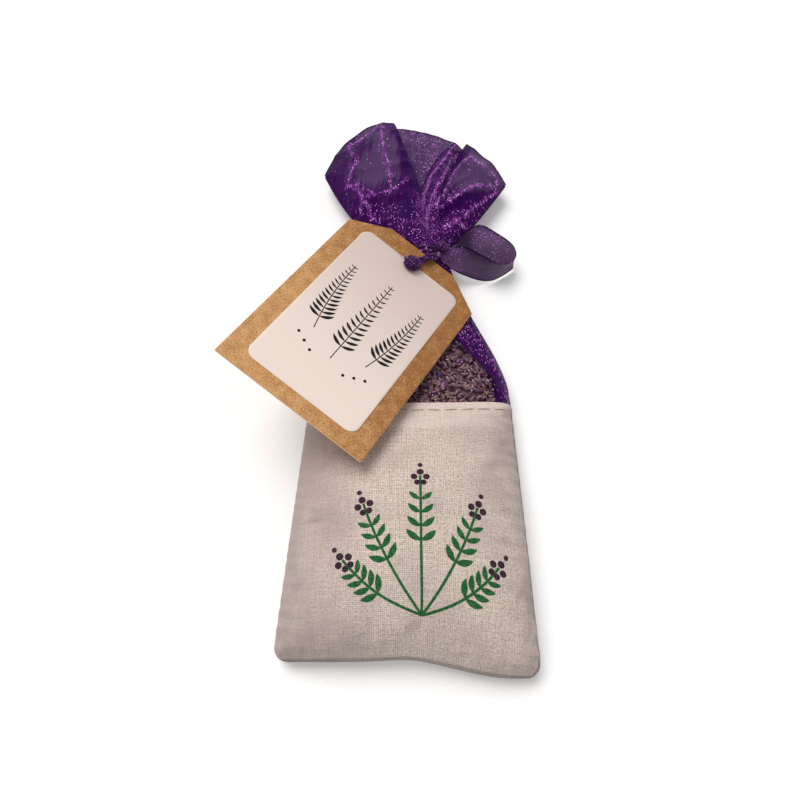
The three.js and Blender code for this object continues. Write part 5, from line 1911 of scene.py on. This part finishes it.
def round_outline(corners, count):
    """Points evenly spaced along a polygon, its corners worn round by averaging neighbours."""
    closed = np.concatenate([corners, corners[:1]])
    points, run = even_steps(closed, count + 1)
    points = points[:-1]
    reach = int(np.ceil(CORNER_WEAR / (run[-1] / count)))
    return sum(np.roll(points, shift, axis=0) for shift in range(-reach, reach + 1)) / (2 * reach + 1)


def tag_corners():
    """The card's corners from the hole: a rectangle with its two top corners cut off."""
    half, top, foot = TAG_WIDTH / 2, HOLE_INSET, HOLE_INSET - TAG_LENGTH
    return np.array([
        (-half, foot),
        (half, foot),
        (half, top - TAG_CUT_DOWN),
        (half - TAG_CUT_ACROSS, top),
        (TAG_CUT_ACROSS - half, top),
        (-half, top - TAG_CUT_DOWN),
    ])


def raised(plan, height):
    """Flat rows of points, each row lifted to its own height."""
    return np.concatenate([plan, np.broadcast_to(height[:, None, None], (*plan.shape[:2], 1))], axis=-1)


def card_skin():
    """Rows run from the hole over the front, round the edge and back under to the hole."""
    edge = round_outline(tag_corners(), 600)
    edge = np.concatenate([edge, edge[:1]])
    turn = np.arctan2(edge[:, 1], edge[:, 0])
    hole = HOLE_RADIUS * np.stack([np.cos(turn), np.sin(turn)], axis=-1)
    half = TAG_THICKNESS / 2
    out = np.concatenate([[0, CARD_BEVEL / 20], np.linspace(0.02, 0.98, 14), [0.9975, 1]])
    high = np.concatenate([[half - CARD_BEVEL], np.full(16, half), [half - CARD_BEVEL]])
    share = np.concatenate([out, out[::-1], out[:1]])[:, None, None]
    height = np.concatenate([high, -high[::-1], high[:1]])
    plan = lerp(hole, edge, share)
    cut = np.broadcast_to((share[..., 0] > 0.999) | (share[..., 0] < 0.001), plan.shape[:2])
    return raised(plan, height), plan, cut.astype(float)


card_points, card_map, card_cut = card_skin()
card = grid_piece("kraft_card", on_tag(card_points), kraft, card_map, {"cut": card_cut}, merge=True)
belongs(card, "tag", "kraft", "kraft_tag")

# %% [markdown]
# A paper label with round corners is glued on. The hole was punched after it, through its top edge.

# %% Label
LABEL_WIDTH = 38.1
LABEL_LENGTH = 63.5
LABEL_RADIUS = 3.2
LABEL_FOOT = HOLE_INSET - TAG_LENGTH + 5
LABEL_UNDER = 0.27
LABEL_TOP = 0.42
NOTCH = HOLE_RADIUS + 0.05
NOTCH_FLARE = 0.1


def arc(centre, radius, start, end, steps=14):
    """Points of an arc between two angles in degrees."""
    turn = np.radians(np.linspace(start, end, steps))
    return np.array(centre) + radius * np.stack([np.cos(turn), np.sin(turn)], axis=-1)


def label_outline():
    """Quarter circles joined by straight sides, with an arc about the hole cut from the top."""
    half, r = LABEL_WIDTH / 2, LABEL_RADIUS
    top = LABEL_FOOT + LABEL_LENGTH
    return np.concatenate([
        arc((-half + r, LABEL_FOOT + r), r, 180, 270),
        arc((half - r, LABEL_FOOT + r), r, 270, 360),
        arc((half - r, top - r), r, 0, 90),
        [(NOTCH + NOTCH_FLARE, top)],
        arc((0, 0), NOTCH, -12, -168, 21),
        [(-NOTCH - NOTCH_FLARE, top)],
        arc((-half + r, top - r), r, 90, 180),
    ])


def label_skin():
    """Rows run from the middle of the face out to the edge, over it and back underneath."""
    edge = label_outline()
    edge = np.concatenate([edge, edge[:1]])
    middle = np.array([0, LABEL_FOOT + LABEL_LENGTH / 2])
    out = np.concatenate([np.linspace(0, 0.96, 10), [0.997, 1]])
    high = np.concatenate([np.full(11, LABEL_TOP), [LABEL_TOP - 0.04]])
    low = np.full(12, LABEL_UNDER)
    share = np.concatenate([out, out[::-1]])[:, None, None]
    plan = lerp(middle, edge, share)
    return raised(plan, np.concatenate([high, low])), plan


label_points, label_map = label_skin()
label = grid_piece("tag_label_paper", on_tag(label_points), paper, label_map, merge=True)
belongs(label, "tag", "label", "tag_label")

# %% [markdown]
# The label carries a plain black drawing: three fern fronds side by side with many fine leaves, and a few
# dots below them. It is made of the same strokes as the twigs.

# %% Label drawing
FROND_FEET = [(-9.5, -43.0), (0.0, -48.0), (9.5, -43.0)]
FROND_LEANS = [-7, 0, 7]
FROND_LENGTHS = [28.0, 35.0, 28.0]
FROND_BOWS = [0.14, 0.0, -0.14]
FROND_WIDTH = 0.3
FRONDS = sheaf(FROND_FEET, FROND_LEANS, FROND_LENGTHS, FROND_BOWS)
FROND_LEAVES = np.linspace(0.16, 0.97, 14)
FROND_LEAF_SIZES = (4.6, 1.2, 0.5)
FROND_LEAF_PLUMP = 0.24
DOT_RADIUS = 0.5
DOTS = np.array([(-12.0, -47.0), (-9.0, -48.5), (-6.0, -50.0), (6.0, -50.0), (9.0, -48.5), (12.0, -47.0)])
LABEL_INK = LABEL_TOP + 0.03


def on_label(x, y):
    """Points of the drawing, just above the label's face."""
    return on_tag(np.stack([x, y, np.full(x.shape, LABEL_INK)], axis=-1))


frond_leaves = leaf_strokes(leaf_pairs(FRONDS, FROND_LEAVES, *FROND_LEAF_SIZES), FROND_LEAF_PLUMP)
frond_stems = stem_strokes(FRONDS, FROND_WIDTH)
dots = discs(DOTS, np.full(len(DOTS), DOT_RADIUS))
for name, drawing in (("label_leaves", frond_leaves), ("label_stems", frond_stems), ("label_dots", dots)):
    printed(name, drawing, black_ink, "tag", "label", on_label)

# %% [markdown]

# %% [markdown]
# ## Floor and light
# The sachet lies on white. The floor is nearly white and keeps the shadow. What the camera sees of it
# gets a little light of its own, so that it ends in pure white. One broad lamp stands behind and to the
# left, and the world fills the shadows.

# %% Floor
FLOOR_HALF = 3.0  # metres
FLOOR_WHITE = (0.9, 0.9, 0.9, 1.0)
FLOOR_LIFT = 0.135


def seen_directly(tree):
    """1 for what the camera sees, straight on or through gloss and glass."""
    path = tree.nodes.new("ShaderNodeLightPath").outputs
    either = maths(tree, "MAXIMUM", path["Is Camera Ray"], path["Is Glossy Ray"])
    return maths(tree, "MAXIMUM", either, path["Is Transmission Ray"])


def make_floor():
    """A grid of two by two points: one large square just under the sachet."""
    corner = np.array([-FLOOR_HALF, FLOOR_HALF]) / MM
    x, y = np.meshgrid(corner, corner)
    material, tree, shader = new_finish(
        "white_table",
        Roughness=1.0,
        Base_Color=FLOOR_WHITE,
        Specular_IOR_Level=0.0,
        Emission_Color=(1, 1, 1, 1),
    )
    own_light = times(tree, seen_directly(tree), FLOOR_LIFT)
    tree.links.new(own_light, shader.inputs["Emission Strength"])
    grid_piece("table", np.stack([x, y, np.full_like(x, -0.05)], axis=-1), material)


make_floor()

# %% Light
LAMP_WAY = (0.3, -0.4, -0.866)  # the direction in which the lamp's light travels
LAMP_STRENGTH = 2.2
LAMP_ANGLE = 40  # degrees: how broad the lamp looks from the sachet
LAMP_COLOUR = (1.0, 0.975, 0.95)
WORLD_STRENGTH = 0.46


def make_light():
    """A sun turned along its direction, and a world that is white where it is seen."""
    data = bpy.data.lights.new("broad_lamp", "SUN")
    data.energy = LAMP_STRENGTH
    data.angle = np.radians(LAMP_ANGLE)
    data.color = LAMP_COLOUR
    lamp = bpy.data.objects.new("broad_lamp", data)
    x, y, z = LAMP_WAY
    lamp.rotation_euler = (np.arctan2(np.hypot(x, y), -z), 0, np.arctan2(-x, y))
    bpy.context.scene.collection.objects.link(lamp)
    world = bpy.data.worlds.new("white_room")
    bpy.context.scene.world = world
    world.use_nodes = True
    tree = world.node_tree
    background = tree.nodes["Background"].inputs
    background["Color"].default_value = (1, 1, 1, 1)
    tree.links.new(ramp(tree, seen_directly(tree), 0, 1, WORLD_STRENGTH, 1.0), background["Strength"])
    bpy.context.scene.view_settings.view_transform = "Standard"
    print("lamp turned", np.degrees(lamp.rotation_euler).round(1))


make_light()
